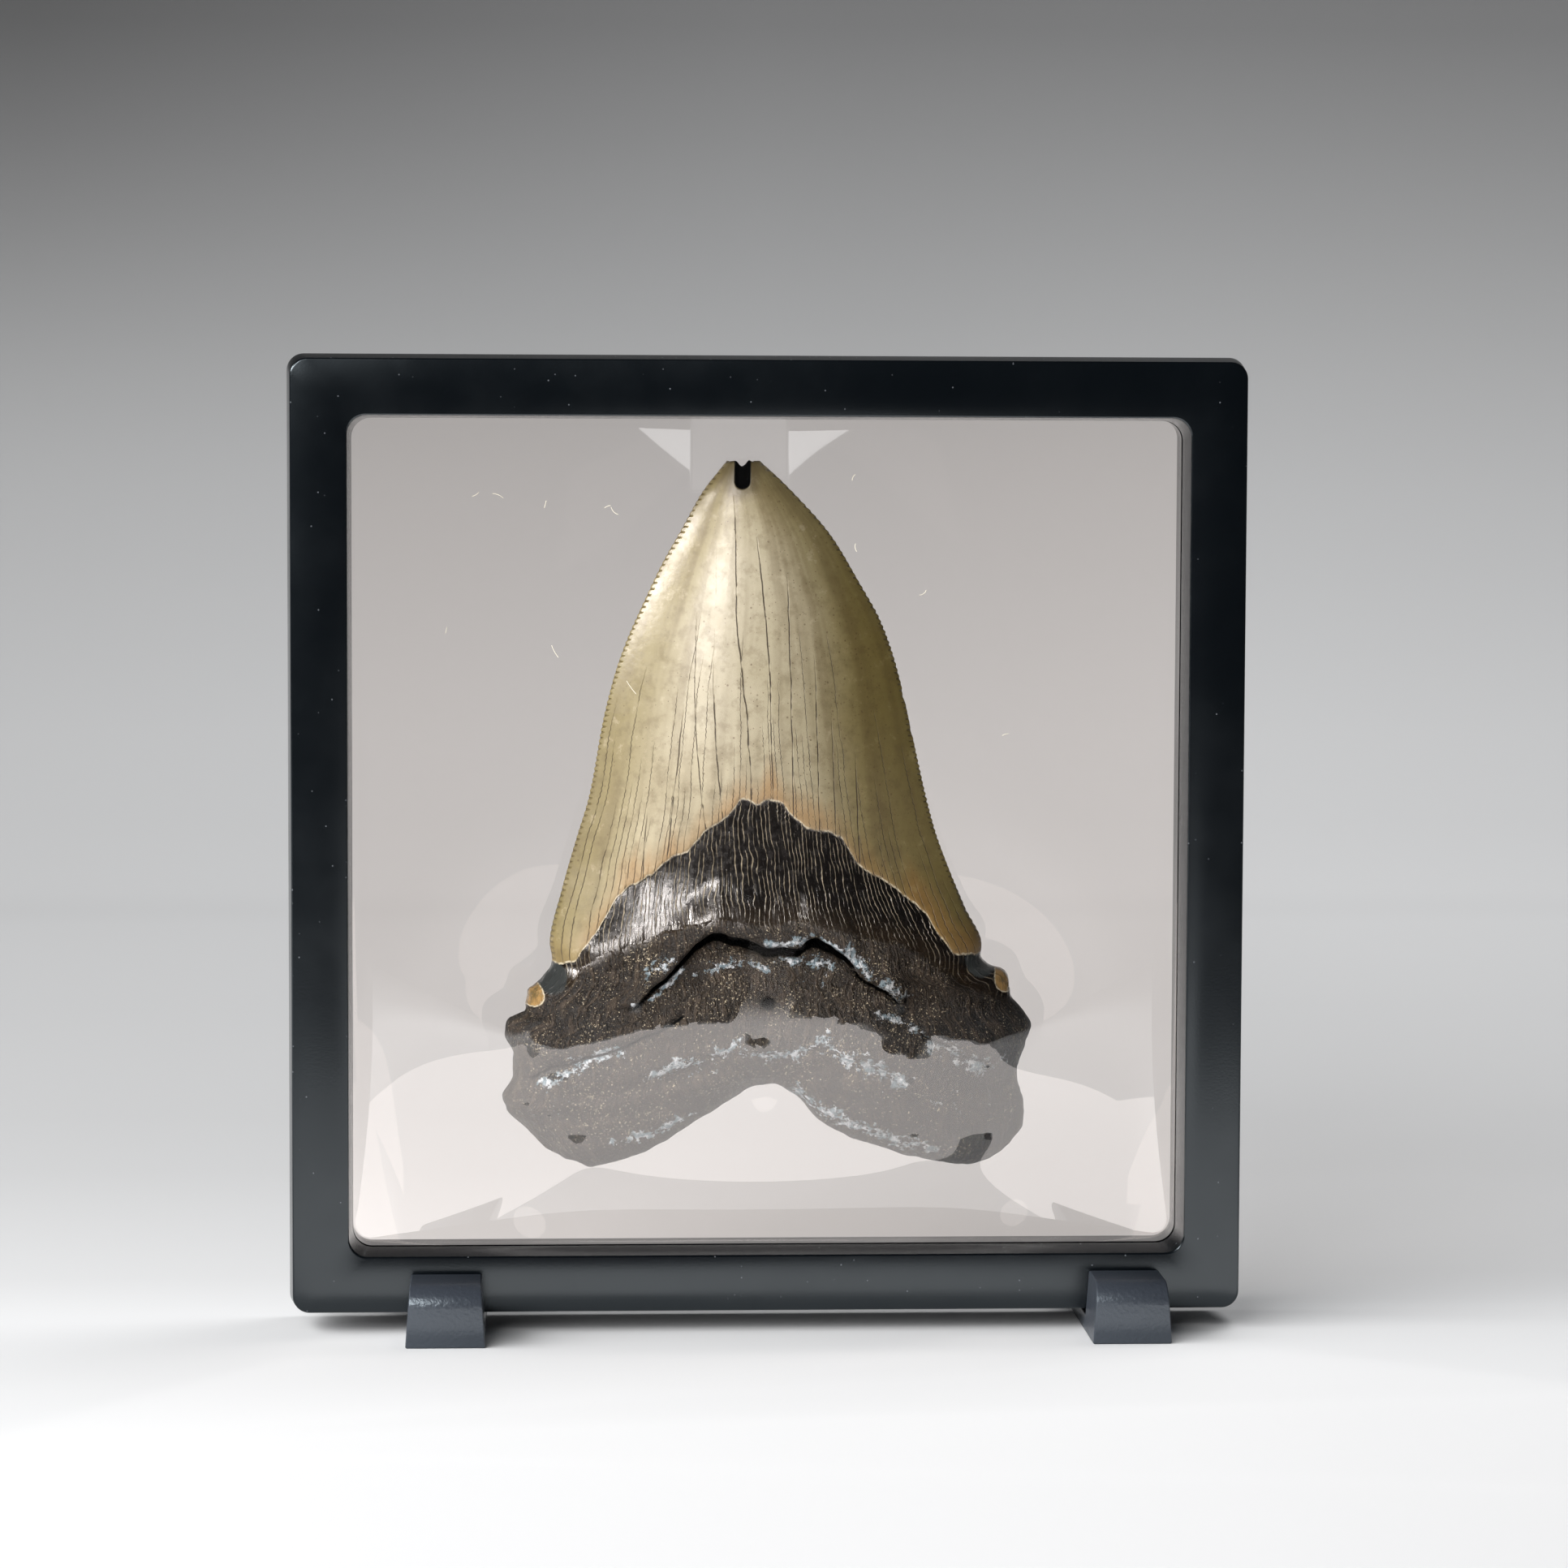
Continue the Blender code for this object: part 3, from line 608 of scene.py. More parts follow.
def fossilMaterial():
    look = fossilFinish
    material, tree, shader = newMaterial("fossil")
    node, calc, ramp, mix, noise = shaderTools(tree)
    mask = partial(attributeValue, tree)

    def times(*values):
        result = values[0]
        for value in values[1:]:
            result = calc("MULTIPLY", result, value)
        return result

    def plus(first, second):
        return calc("ADD", first, second)

    def blend(factor, first, second):
        return node("ShaderNodeMix", {0: factor, 2: first, 3: second}).outputs[0]

    position = node("ShaderNodeTexCoord").outputs["Object"]
    place = node("ShaderNodeSeparateXYZ", {0: position})
    acrossX, heightZ = place.outputs[0], place.outputs[2]
    flow = node("ShaderNodeUVMap", uv_map="toothMap").outputs["UV"]
    column = node("ShaderNodeSeparateXYZ", {0: flow}).outputs[0]
    enamelEdge, bandEdge, edgeNear = mask("enamelEdge"), mask("bandEdge"), mask("edgeNear")
    crackNear, pocketEdge = mask("crackNear"), mask("pocketEdge")
    fine = noise(position, 900.0, 3.0)
    medium = noise(position, 160.0, 4.0, 0.6)
    broad = noise(position, 34.0, 3.0)

    def alongFlow(across, down, detail=2.0):  # noise drawn out along the tooth
        stretched = node("ShaderNodeMapping", {"Vector": flow, "Scale": (across, down, 1.0)})
        return noise(stretched.outputs[0], 1.0, detail, 0.6)

    def lineAt(phase, outside, inside):  # a line wherever the phase is whole
        return ramp(calc("PINGPONG", phase, 0.5), outside, inside)

    def chanceOf(phase):  # one random value for each line
        inputs = {"W": calc("ROUND", phase)}
        return node("ShaderNodeTexWhiteNoise", inputs, noise_dimensions="1D").outputs["Value"]

    # enamel: olive at the edges, cream in the middle, tan towards its lower border
    isEnamel = ramp(enamelEdge, -0.12, 0.12)
    inner = ramp(edgeNear, 2.0, 16.0)
    leftward = ramp(acrossX, 0.024, -0.012, 0.35, 1.0)
    enamel = mix(times(inner, leftward, ramp(broad, 0.3, 0.65, 0.6, 1.0)),
                 look["enamelOlive"], look["enamelCream"])
    streaks = alongFlow(0.16, 0.012)
    enamel = mix(ramp(streaks, 0.42, 0.68, 0.0, 0.4), enamel, look["enamelShade"])
    fringe = plus(enamelEdge, calc("MULTIPLY_ADD", streaks, 14.0, -7.0))
    patch = times(ramp(fringe, 6.0, 0.0, 0.0, 0.8), ramp(broad, 0.42, 0.6, 0.25, 1.0))
    enamel = mix(patch, enamel, look["enamelTan"])
    mottle = noise(position, 330.0, 5.0, 0.68)
    enamel = mix(ramp(mottle, 0.46, 0.66, 0.0, 0.34), enamel, look["enamelShade"])
    enamel = mix(ramp(mottle, 0.42, 0.30, 0.0, 0.35), enamel, look["enamelRim"])
    tipStain = times(ramp(heightZ, 0.148, 0.163), ramp(medium, 0.3, 0.6, 0.1, 0.5))
    enamel = mix(tipStain, enamel, look["enamelShade"])
    # painted shade darkens the lower crown and the right flank, which is also partly stained
    rightStainAndShade = ramp(plus(acrossX, times(plus(medium, -0.5), 0.006)), 0.004, 0.020)
    lowPaintedShade = ramp(heightZ, 0.128, 0.088, 0.0, 0.35)
    paintedShade = mix(1.0, enamel, look["enamelShadow"], "MULTIPLY")
    enamel = mix(calc("MAXIMUM", rightStainAndShade, lowPaintedShade), enamel, paintedShade)
    speck = 0.0
    for cells, size, share in ((900.0, 0.26, 0.86), (1700.0, 0.30, 0.80)):
        spots = node("ShaderNodeTexVoronoi", {"Vector": position, "Scale": cells})
        chosen = node("ShaderNodeSeparateColor", {0: spots.outputs["Color"]})
        crowd = plus(chosen.outputs[0], ramp(acrossX, -0.02, 0.02, -0.12, 0.14))
        crowd = plus(crowd, calc("MULTIPLY_ADD", medium, 0.9, -0.45))
        dots = ramp(spots.outputs["Distance"], size, 0.3 * size)
        speck = calc("MAXIMUM", speck, times(dots, ramp(crowd, share, share + 0.06)))
    enamel = mix(times(speck, 0.65), enamel, look["freckle"])

    # long cracks from the phase, short ones spread across the columns
    crackPhase = plus(mask("crackPhase"), calc("MULTIPLY_ADD", medium, 0.16, -0.08))
    longLine = times(lineAt(crackPhase, 0.034, 0.008), mask("crackShow"))
    across = plus(times(column, 0.62), times(noise(position, 110.0, 2.0), 0.9))
    reach = calc("MULTIPLY_ADD", calc("POWER", chanceOf(across), 1.6), 34.0, 2.0)
    shortLine = times(lineAt(across, 0.075, 0.02), ramp(calc("SUBTRACT", reach, enamelEdge), 0.0, 5.0))
    breaks = ramp(noise(position, 420.0, 1.0), 0.36, 0.5, 0.3, 1.0)
    lines = times(calc("MAXIMUM", longLine, times(shortLine, 0.85)), breaks)
    enamel = mix(times(lines, 0.9), enamel, look["enamelCrack"])
    ticks = times(lineAt(mask("edgeTicks"), 0.2, 0.06), ramp(plus(edgeNear, times(medium, 1.2)), 1.5, 0.7))
    enamel = mix(times(ticks, 0.4), enamel, look["freckle"])

    # dark band: near black and glossy, with fine pale wrinkles running down it
    wander = plus(column, times(plus(alongFlow(0.05, 0.06), times(alongFlow(0.3, 0.25), 0.25)), 5.0))
    wrinkle = lineAt(wander, 0.15, 0.03)
    broken = ramp(plus(alongFlow(0.9, 0.16, 3.0), times(chanceOf(wander), 0.16)), 0.48, 0.62)
    wrinkle = times(wrinkle, broken, ramp(bandEdge, 1.0, 6.0, 0.25, 1.0))
    band = mix(ramp(bandEdge, 6.0, 0.5, 0.0, 0.7), look["band"], look["bandBrown"])
    band = mix(times(wrinkle, ramp(fine, 0.35, 0.6, 0.45, 1.0)), band, look["bandGrain"])

    # root: gritty brown with bright grains, partly painted glints, and pale mineral along its cracks
    grit = noise(position, 1500.0, 2.0, 0.7)
    root = mix(ramp(grit, 0.45, 0.75, 0.0, 0.7), look["root"], look["rootLight"])
    root = mix(ramp(broad, 0.4, 0.7, 0.0, 0.5), root, look["bandBrown"])
    # bright grains: partly pale mineral specks, partly painted glints
    grain = 0.0
    for cells, least in ((2600.0, 0.63), (1500.0, 0.68)):
        glints = plus(noise(position, cells, 2.0, 0.75), times(plus(medium, -0.5), 0.25))
        grain = calc("MAXIMUM", grain, ramp(glints, least, least + 0.05))
    striped = ramp(alongFlow(1.1, 0.2, 3.0), 0.46, 0.64, 0.0, 0.7)
    root = mix(striped, root, look["rootLight"])
    root = mix(grain, root, look["rootGrainAndGlint"])
    crust = noise(position, 420.0, 5.0, 0.72)
    flake = noise(position, 780.0, 4.0, 0.75)
    speckled = plus(times(crust, 0.6), times(flake, 0.4))
    crustHold = calc("SUBTRACT", speckled, times(mask("mineralNear"), 0.125))
    mineral = ramp(crustHold, 0.445, 0.485)
    flakeHold = calc("SUBTRACT", flake, times(mask("flakeNear"), 0.07))
    mineral = calc("MAXIMUM", mineral, ramp(flakeHold, 0.60, 0.64))
    mineral = times(mineral, ramp(crackNear, 0.0, 0.3, 0.1, 1.0))
    pale = mix(ramp(fine, 0.4, 0.62), look["mineralBlue"], look["mineral"])
    root = mix(times(mineral, 0.9), root, pale)
    # painted shade: the openings of the cracks and the pits are painted near black
    crackAndPitShade = calc("MAXIMUM", ramp(crackNear, 0.35, 0.0), ramp(mask("pitNear"), 1.1, 0.7))
    root = mix(crackAndPitShade, root, look["dark"])
    pores = ramp(noise(position, 1100.0, 3.0, 0.7), 0.44, 0.36)
    root = mix(times(pores, 0.8), root, look["root"])

    # band over root, both darker on the far side from the lamps
    farSide = ramp(acrossX, 0.006, 0.036)
    isBand = ramp(plus(bandEdge, calc("MULTIPLY_ADD", medium, 3.0, -1.5)), -0.8, 1.0)
    lower = mix(isBand, root, band)
    shadowed = mix(1.0, lower, look["lowerShadow"], "MULTIPLY")
    lower = mix(times(farSide, 0.6), lower, shadowed)

    # grey neck pieces and amber spurs at both shoulders, then the tip's pocket: dark dentine with painted
    # shade of a deeper notch
    isNeck = 0.0
    for centre, radius in look["necks"]:
        away = plus(roundPatch(tree, position, centre, radius), times(plus(medium, -0.5), 0.9))
        isNeck = calc("MAXIMUM", isNeck, ramp(away, 1.08, 0.95))
    lower = mix(isNeck, lower, look["neck"])
    for centre, radius in look["spurs"]:
        away = plus(roundPatch(tree, position, centre, radius), times(plus(medium, -0.5), 0.7))
        brim = times(ramp(away, 1.14, 1.06), ramp(flake, 0.4, 0.5, 0.3, 1.0))
        lower = mix(brim, lower, look["enamelRim"])
        amber = mix(ramp(crust, 0.4, 0.65), look["spur"], look["enamelShade"])
        lower = mix(ramp(away, 1.04, 0.98), lower, amber)
    colour = mix(isEnamel, lower, enamel)
    rimLine = times(ramp(calc("ABSOLUTE", enamelEdge), 0.24, 0.05),
                    ramp(flake, 0.42, 0.56, 0.12, 0.95))
    colour = mix(rimLine, colour, look["enamelRim"])
    colour = mix(ramp(pocketEdge, 3.2, 0.2, 0.0, 0.45), colour, look["bandBrown"])
    # the pocket: its dark dentine, and painted shade where the notch is deeper than the relief
    pocketDentineAndShade = ramp(pocketEdge, 0.4, 0.05)
    colour = mix(pocketDentineAndShade, colour, look["dark"])
    tree.links.new(colour, shader.inputs["Base Color"])

    # roughness, sheen and relief of the three surfaces
    enamelRough = ramp(plus(medium, times(fine, 0.4)), 0.45, 0.9, 0.29, 0.40)
    enamelRough = plus(enamelRough, ramp(heightZ, 0.122, 0.096, 0.0, 0.24))
    bandRough = ramp(fine, 0.3, 0.7, 0.17, 0.30)
    bandRough = calc("MINIMUM", bandRough, calc("SUBTRACT", 1.0, times(isNeck, 0.8)))
    rootRough = calc("MAXIMUM", ramp(grit, 0.3, 0.7, 0.40, 0.68), times(mineral, 0.85))
    rough = blend(isEnamel, blend(isBand, rootRough, bandRough), enamelRough)
    tree.links.new(rough, shader.inputs["Roughness"])
    gleam = blend(isEnamel, blend(isBand, blend(crackAndPitShade, 0.32, 0.0), 0.6), 0.52)
    gleam = times(gleam, blend(times(farSide, calc("SUBTRACT", 1.0, isEnamel)), 1.0, 0.5))
    tree.links.new(blend(pocketDentineAndShade, gleam, 0.0), shader.inputs["Specular IOR Level"])
    enamelHeight = calc("SUBTRACT", times(plus(medium, times(fine, 0.4)), 0.16),
                        plus(times(lines, 0.5), times(ticks, 0.7)))
    bandHeight = plus(times(wrinkle, 0.4), plus(times(fine, 0.1), times(alongFlow(1.2, 0.1), 0.25)))
    rootHeight = plus(plus(times(grit, 1.1), times(crust, 1.5)),
                      plus(times(mineral, 0.5), times(striped, 0.8)))
    height = blend(isEnamel, blend(isBand, rootHeight, bandHeight), enamelHeight)
    bump = node("ShaderNodeBump", {"Strength": 0.9, "Distance": 0.00045, "Height": height})
    tree.links.new(bump.outputs[0], shader.inputs["Normal"])
    return material


toothPiece = buildTooth()
finishPiece(toothPiece, fossilMaterial(), "tooth")
print("tooth built:", len(toothPiece.data.polygons), "faces")

# Frame halves: a profile carried round a rounded square by Geometry Nodes
frameHalf = {
    "sizes": {   # each one is an input of the node tree
        "Outer Half": 90.0,
        "Face Half": 89.0,
        "Window Half": 78.5,
        "Waist Half": 78.1,
        "Rebate Half": 81.0,
        "Rebate Depth": 0.75,
        "Half Depth": 10.0,
        "Parting Gap": 0.15,
        "Outer Radius": 3.2,
        "Window Radius": 3.7,
        "Rebate Radius": 3.0,
        "Centre Height": 93.1,
    },
    "cornerSteps": 14,
    "edgeRound": 0.45,
    "bentFrom": 0.8,         # angle in radians from which an edge of the face is rounded
    "faceSlack": 0.00005,    # metres by which an edge may miss the face and still lie on it
}
waistHalf = frameHalf["sizes"]["Waist Half"]
centreHeight = frameHalf["sizes"]["Centre Height"]


def frameTree():
    sizes = [(label, value * mm) for label, value in frameHalf["sizes"].items()] + [("Side", -1.0)]
    tree, entry, leave = shapeTree("frameHalfShape", sizes, [("Corner Steps", frameHalf["cornerSteps"])])
    node, calc = partial(addNode, tree), partial(mathNode, tree)
    size = entry.outputs
    profile = [  # half width, depth, corner radius of each corner of the section
        (size["Outer Half"], size["Parting Gap"], size["Outer Radius"]),
        (size["Face Half"], size["Half Depth"], size["Outer Radius"]),
        (size["Window Half"], size["Half Depth"], size["Window Radius"]),
        (size["Waist Half"], size["Rebate Depth"], size["Window Radius"]),
        (size["Rebate Half"], size["Rebate Depth"], size["Rebate Radius"]),
        (size["Rebate Half"], size["Parting Gap"], size["Rebate Radius"])]
    profile.append(profile[0])
    perCorner = calc("ADD", size["Corner Steps"], 1.0)
    pathCount = calc("ADD", calc("MULTIPLY", perCorner, 4.0), 1.0)
    sheet = node("GeometryNodeMeshGrid", {"Vertices X": len(profile), "Vertices Y": pathCount})
    index = tree.nodes.new("GeometryNodeInputIndex").outputs[0]
    ring = calc("FLOOR", calc("DIVIDE", calc("ADD", index, 0.5), pathCount))
    place = calc("SUBTRACT", index, calc("MULTIPLY", ring, pathCount))
    corner = calc("FLOOR", calc("DIVIDE", calc("ADD", place, 0.5), perCorner))
    turn = calc("SUBTRACT", place, calc("MULTIPLY", corner, perCorner))
    quarter = calc("ADD", corner, calc("DIVIDE", turn, size["Corner Steps"]))
    angle = calc("MULTIPLY", quarter, math.pi / 2)
    middle = calc("MULTIPLY", calc("ADD", corner, 0.5), math.pi / 2)
    read = []
    for column in range(3):
        switch = tree.nodes.new("GeometryNodeIndexSwitch")
        switch.data_type = "FLOAT"
        while len(switch.index_switch_items) < len(profile):
            switch.index_switch_items.new()
        tree.links.new(ring, switch.inputs[0])
        for number, row in enumerate(profile):
            tree.links.new(row[column], switch.inputs[number + 1])
        read.append(switch.outputs[0])
    half, depth, radius = read
    reach = calc("SUBTRACT", half, radius)

    def coordinate(function):
        side = calc("SIGN", calc(function, middle))
        bend = calc("MULTIPLY", calc(function, angle), radius)
        return calc("ADD", calc("MULTIPLY", side, reach), bend)

    where = node("ShaderNodeCombineXYZ", {
        0: coordinate("COSINE"), 1: calc("MULTIPLY", depth, size["Side"]),
        2: calc("ADD", coordinate("SINE"), size["Centre Height"])})
    moved = {"Geometry": sheet.outputs["Mesh"], "Position": where.outputs[0]}
    placed = node("GeometryNodeSetPosition", moved)
    joined = node("GeometryNodeMergeByDistance", {"Geometry": placed.outputs[0], "Distance": 1e-6})
    spot = node("ShaderNodeSeparateXYZ", {0: tree.nodes.new("GeometryNodeInputPosition").outputs[0]})
    atFace = calc("GREATER_THAN", calc("ABSOLUTE", spot.outputs[1]),
                   calc("SUBTRACT", size["Half Depth"], frameHalf["faceSlack"]))
    edgeAngle = tree.nodes.new("GeometryNodeInputMeshEdgeAngle").outputs[0]
    bent = calc("GREATER_THAN", edgeAngle, frameHalf["bentFrom"])
    weight = node("GeometryNodeStoreNamedAttribute", {
        "Geometry": joined.outputs[0], "Name": "bevel_weight_edge", "Value": calc("MULTIPLY", atFace, bent)},
        data_type="FLOAT", domain="EDGE")
    finishShape(tree, weight.outputs[0], size["Material"], leave)
    return tree


def buildFrameHalf(name, side, tree, material):
    piece = inScene(name, bpy.data.meshes.new(name))
    applyShape(piece, tree, {"Side": float(side), "Material": material})
    rounding = piece.modifiers.new("rounding", "BEVEL")
    rounding.limit_method, rounding.segments = "WEIGHT", 4
    rounding.width = frameHalf["edgeRound"] * mm
    bakeModifiers(piece)
    pointOutwards(piece)
    shadeRound(piece, 15)
    return piece


# Plastic finish shared by frame and feet: moulded grain, dust and rubbed spots
plasticFinish = {
    "satinFramePlastic": {
        "Colour": (0.0004, 0.0010, 0.0018, 1), "Grain Size": 2200.0, "Dust Amount": 0.4, "Gloss": 0.2,
        "bumpDepth": 0.01},
    "grainedFootPlastic": {
        "Colour": (0.031, 0.036, 0.046, 1), "Grain Size": 1300.0, "Dust Amount": 0.3, "Gloss": 0.34,
        "bumpDepth": 0.16},
    "sheenTint": (0.82, 0.93, 1.0, 1),
    "sheen": 0.58,
    "dustColour": (0.3, 0.32, 0.35, 1),
}


def plasticGroup():
    group, entry, leave = newGroup(
        "mouldedPlastic",
        [("Colour", "NodeSocketColor", (0.01, 0.01, 0.01, 1)),
         ("Dust Colour", "NodeSocketColor", plasticFinish["dustColour"]),
         ("Grain Size", "NodeSocketFloat", 1500.0), ("Dust Amount", "NodeSocketFloat", 0.5),
         ("Gloss", "NodeSocketFloat", 0.3)],
        [("Colour", "NodeSocketColor"), ("Roughness", "NodeSocketFloat"), ("Height", "NodeSocketFloat")])
    node, calc, ramp, mix, noise = shaderTools(group)
    given = entry.outputs
    position = node("ShaderNodeTexCoord").outputs["Object"]
    grain = noise(position, given["Grain Size"], 2.0)
    cloud = noise(position, 26.0, 4.0, 0.6)
    spots = node("ShaderNodeTexVoronoi", {"Vector": position, "Scale": 800.0})
    pick = node("ShaderNodeSeparateColor", {0: spots.outputs["Color"]}).outputs[0]
    rare = ramp(calc("MULTIPLY_ADD", cloud, 0.35, pick), 1.08, 1.16)
    dot = calc("MULTIPLY", ramp(spots.outputs["Distance"], 0.16, 0.05), rare)
    dust = calc("MULTIPLY", dot, given["Dust Amount"], clamp=True)
    haze = calc("MULTIPLY", ramp(cloud, 0.5, 0.8), calc("MULTIPLY", given["Dust Amount"], 0.007))
    colour = mix(calc("ADD", dust, haze, clamp=True), given["Colour"], given["Dust Colour"])
    rough = calc("ADD", given["Gloss"], ramp(cloud, 0.35, 0.75, -0.03, 0.05))
    group.links.new(colour, leave.inputs["Colour"])
    group.links.new(calc("ADD", rough, calc("MULTIPLY", dust, 0.4)), leave.inputs["Roughness"])
    group.links.new(calc("ADD", grain, calc("MULTIPLY", dust, 1.5)), leave.inputs["Height"])
    return group


def plasticMaterial(name, group):
    look = dict(plasticFinish[name])
    bumpDepth = look.pop("bumpDepth") * mm
    material, tree, shader = newMaterial(name)
    finish = addNode(tree, "ShaderNodeGroup", look, node_tree=group).outputs
    relief = {"Strength": 0.6, "Distance": bumpDepth, "Height": finish["Height"]}
    bump = addNode(tree, "ShaderNodeBump", relief)
    tree.links.new(finish["Colour"], shader.inputs["Base Color"])
    tree.links.new(finish["Roughness"], shader.inputs["Roughness"])
    tree.links.new(bump.outputs[0], shader.inputs["Normal"])
    shader.inputs["Specular Tint"].default_value = plasticFinish["sheenTint"]
    shader.inputs["Specular IOR Level"].default_value = plasticFinish["sheen"]
    return material


plastic = plasticGroup()
framePlastic = plasticMaterial("satinFramePlastic", plastic)
footPlastic = plasticMaterial("grainedFootPlastic", plastic)
halfTree = frameTree()
for nodeName, side in (("front_frame", -1), ("back_frame", 1)):
    half = buildFrameHalf(nodeName + "_moulding", side, halfTree, framePlastic)
    finishPiece(half, framePlastic, nodeName)
print("frame halves built")

# Feet: side profile carried across a tapered width
foot = {
    "depth": 49.0, "height": 11.4, "floor": 2.8, "slot": 20.6, "frontRound": 4.2,
    "width": 14.8, "topWidth": 13.2, "edgeRound": 0.35, "arcSteps": 16,
}


def buildFoot(nodeName):
    low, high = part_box(nodeName)
    centreX = (low.x + high.x) / 2 / mm
    halfDepth, slot, bend = foot["depth"] / 2, foot["slot"] / 2, foot["frontRound"]
    arc = []
    for count in range(foot["arcSteps"] + 1):
        angle = math.radians(90 * count / foot["arcSteps"])
        arc.append((halfDepth + bend * (math.cos(angle) - 1), foot["height"] + bend * (math.sin(angle) - 1)))
    backSide = [(halfDepth, 0.0)] + arc + [(slot, foot["height"]), (slot, foot["floor"])]
    profile = backSide + [(-y, z) for y, z in reversed(backSide)]
    count = len(profile)
    vertices = []
    for side in (-1, 1):
        for y, z in profile:
            width = foot["width"] + (foot["topWidth"] - foot["width"]) * z / foot["height"]
            vertices.append((centreX + side * width / 2, y, z))
    faces = [list(range(count)), list(range(count, 2 * count))]
    faces += [[k, (k + 1) % count, (k + 1) % count + count, k + count] for k in range(count)]
    piece = meshObject(nodeName + "_moulding", vertices, faces)
    pointOutwards(piece)
    rounding = piece.modifiers.new("rounding", "BEVEL")
    rounding.limit_method, rounding.angle_limit = "ANGLE", math.radians(40)
    rounding.width, rounding.segments = foot["edgeRound"] * mm, 3
    bakeModifiers(piece)
    shadeRound(piece, 28)
    return piece


for nodeName in ("foot_left", "foot_right"):
    finishPiece(buildFoot(nodeName), footPlastic, nodeName)
print("feet built")

# Films: stretched clear membranes that tent over the tooth
film = {
    "cells": 156, "thickness": 0.1, "clearance": 0.1, "flange": 2.2, "gap": 0.2,
    "rounds": 1500,                  # of relaxing, until the net is at rest
    "corner": 0.9,                   # how far the corners of the held edge are drawn in
    "touchWithin": 0.15,
    "dullFrom": (66.0, 71.0),        # height over which the pressed film turns dull
    "mirrorShare": {"front_film": 1.0, "back_film": 0.35},
    "backFade": (105.0, 125.0, 0.9),   # height over which the back film stops mirroring, and how far
    "pressedFrom": (58.0, 64.0),
    "pressedLoss": 0.94,             # how much less the film mirrors where it lies on the tooth
    "creases": (-5.2, 8.9, 158.0),   # where the film is drawn to the tip: X, half width, height
}


def relaxedFilm(depth, side):  # a taut net drawn over one face of the tooth
    count = film["cells"] + 1
    line = np.linspace(-waistHalf, waistHalf, count)
    finer = np.linspace(-waistHalf, waistHalf, 2 * count - 1)
    x, z = np.meshgrid(finer, finer)
    height = z + centreHeight - tooth["base"]
    left, right = along(tooth["leftEdge"], height), along(tooth["rightEdge"], height)
    tip = tooth["leftEdge"][-1][0]
    inside = (x > left) & (x < right) & (height > along(tooth["bottomEdge"], x)) & (height < tip)
    fineObstacle = np.where(inside, depth(x, height) + side * edgePlane(height) + film["clearance"], 0.0)
    padded = np.pad(fineObstacle, 1)
    spread = [padded[a:a + len(finer), b:b + len(finer)] for a in range(3) for b in range(3)]
    obstacle = np.maximum.reduce(spread)[::2, ::2]
    height = obstacle.copy()
    even = (np.add.outer(np.arange(count), np.arange(count)) % 2) == 0
    inner = np.zeros((count, count), bool)
    inner[1:-1, 1:-1] = True
    speed = 2 / (1 + math.sin(math.pi / count))
    for _ in range(film["rounds"]):
        for chosen in (even & inner, ~even & inner):
            mean = np.zeros_like(height)
            mean[1:-1, 1:-1] = (
                height[:-2, 1:-1] + height[2:, 1:-1] + height[1:-1, :-2] + height[1:-1, 2:]) / 4
            height = np.where(chosen, np.maximum(obstacle, height + speed * (mean - height)), height)
    touch = (height - obstacle < film["touchWithin"]) & (obstacle > film["clearance"])
    return line, height, touch.astype(float), inside[::2, ::2].astype(float)


def buildFilm(nodeName, side, depth):
    line, rise, touch, over = relaxedFilm(depth, side)
    filmShapes[nodeName] = (line, rise)
    held = waistHalf + film["flange"]
    places = np.concatenate([[-held], line, [held]])
    rise, touch, over = np.pad(rise, 1), np.pad(touch, 1), np.pad(over, 1)
    x, z = np.meshgrid(places, places)
    for row, column in ((0, 0), (0, -1), (-1, 0), (-1, -1)):
        x[row, column] -= math.copysign(film["corner"], x[row, column])
        z[row, column] -= math.copysign(film["corner"], z[row, column])
    z = z + centreHeight
    inner = np.stack([x, side * (film["gap"] + rise), z], -1).reshape(-1, 3)
    outer = np.stack([x, side * (film["gap"] + rise + film["thickness"]), z], -1).reshape(-1, 3)
    count = len(places)
    grid = np.arange(count * count).reshape(count, count)
    quads = np.stack([grid[:-1, :-1], grid[:-1, 1:], grid[1:, 1:], grid[1:, :-1]], -1).reshape(-1, 4)
    ahead, behind = quads + count * count, quads[:, ::-1]
    if side > 0:
        ahead, behind = ahead[:, ::-1], quads
    rim = np.concatenate([grid[0, :], grid[1:, -1], grid[-1, -2::-1], grid[-2:0:-1, 0]])
    following = np.roll(rim, -1)
    wall = np.stack([rim, following, following + count * count, rim + count * count], -1)
    if side > 0:
        wall = wall[:, ::-1]
    faces = np.concatenate([ahead, behind, wall]).tolist()
    piece = meshObject(nodeName + "_clear", np.concatenate([inner, outer]), faces)
    shadeRound(piece, 50)
    creaseX, creaseHalf, creaseHeight = film["creases"]
    touch = touch * step(z, *film["dullFrom"])
    touch = np.maximum(touch, (np.abs(x - creaseX) < creaseHalf) & (z > creaseHeight))
    fadeLow, fadeHigh, fadeBy = film["backFade"]
    faint = 1 - fadeBy * step(z, fadeLow, fadeHigh) if side > 0 else 1.0
    pressed = film["pressedLoss"] * over * step(z, *film["pressedFrom"])
    share = film["mirrorShare"][nodeName] * faint * (1 - pressed)
    pointAttribute(piece.data, "touch", np.tile(touch.ravel(), 2))
    pointAttribute(piece.data, "mirrorShare", np.tile(share.ravel(), 2))
    return piece


filmFinish = {
    "tint": (1.0, 0.984, 0.974), "ior": 1.5, "share": 0.8, "mirror": 3.28, "mostShare": 0.096,
    "roughness": 0.015, "touchRoughness": 0.55,
}


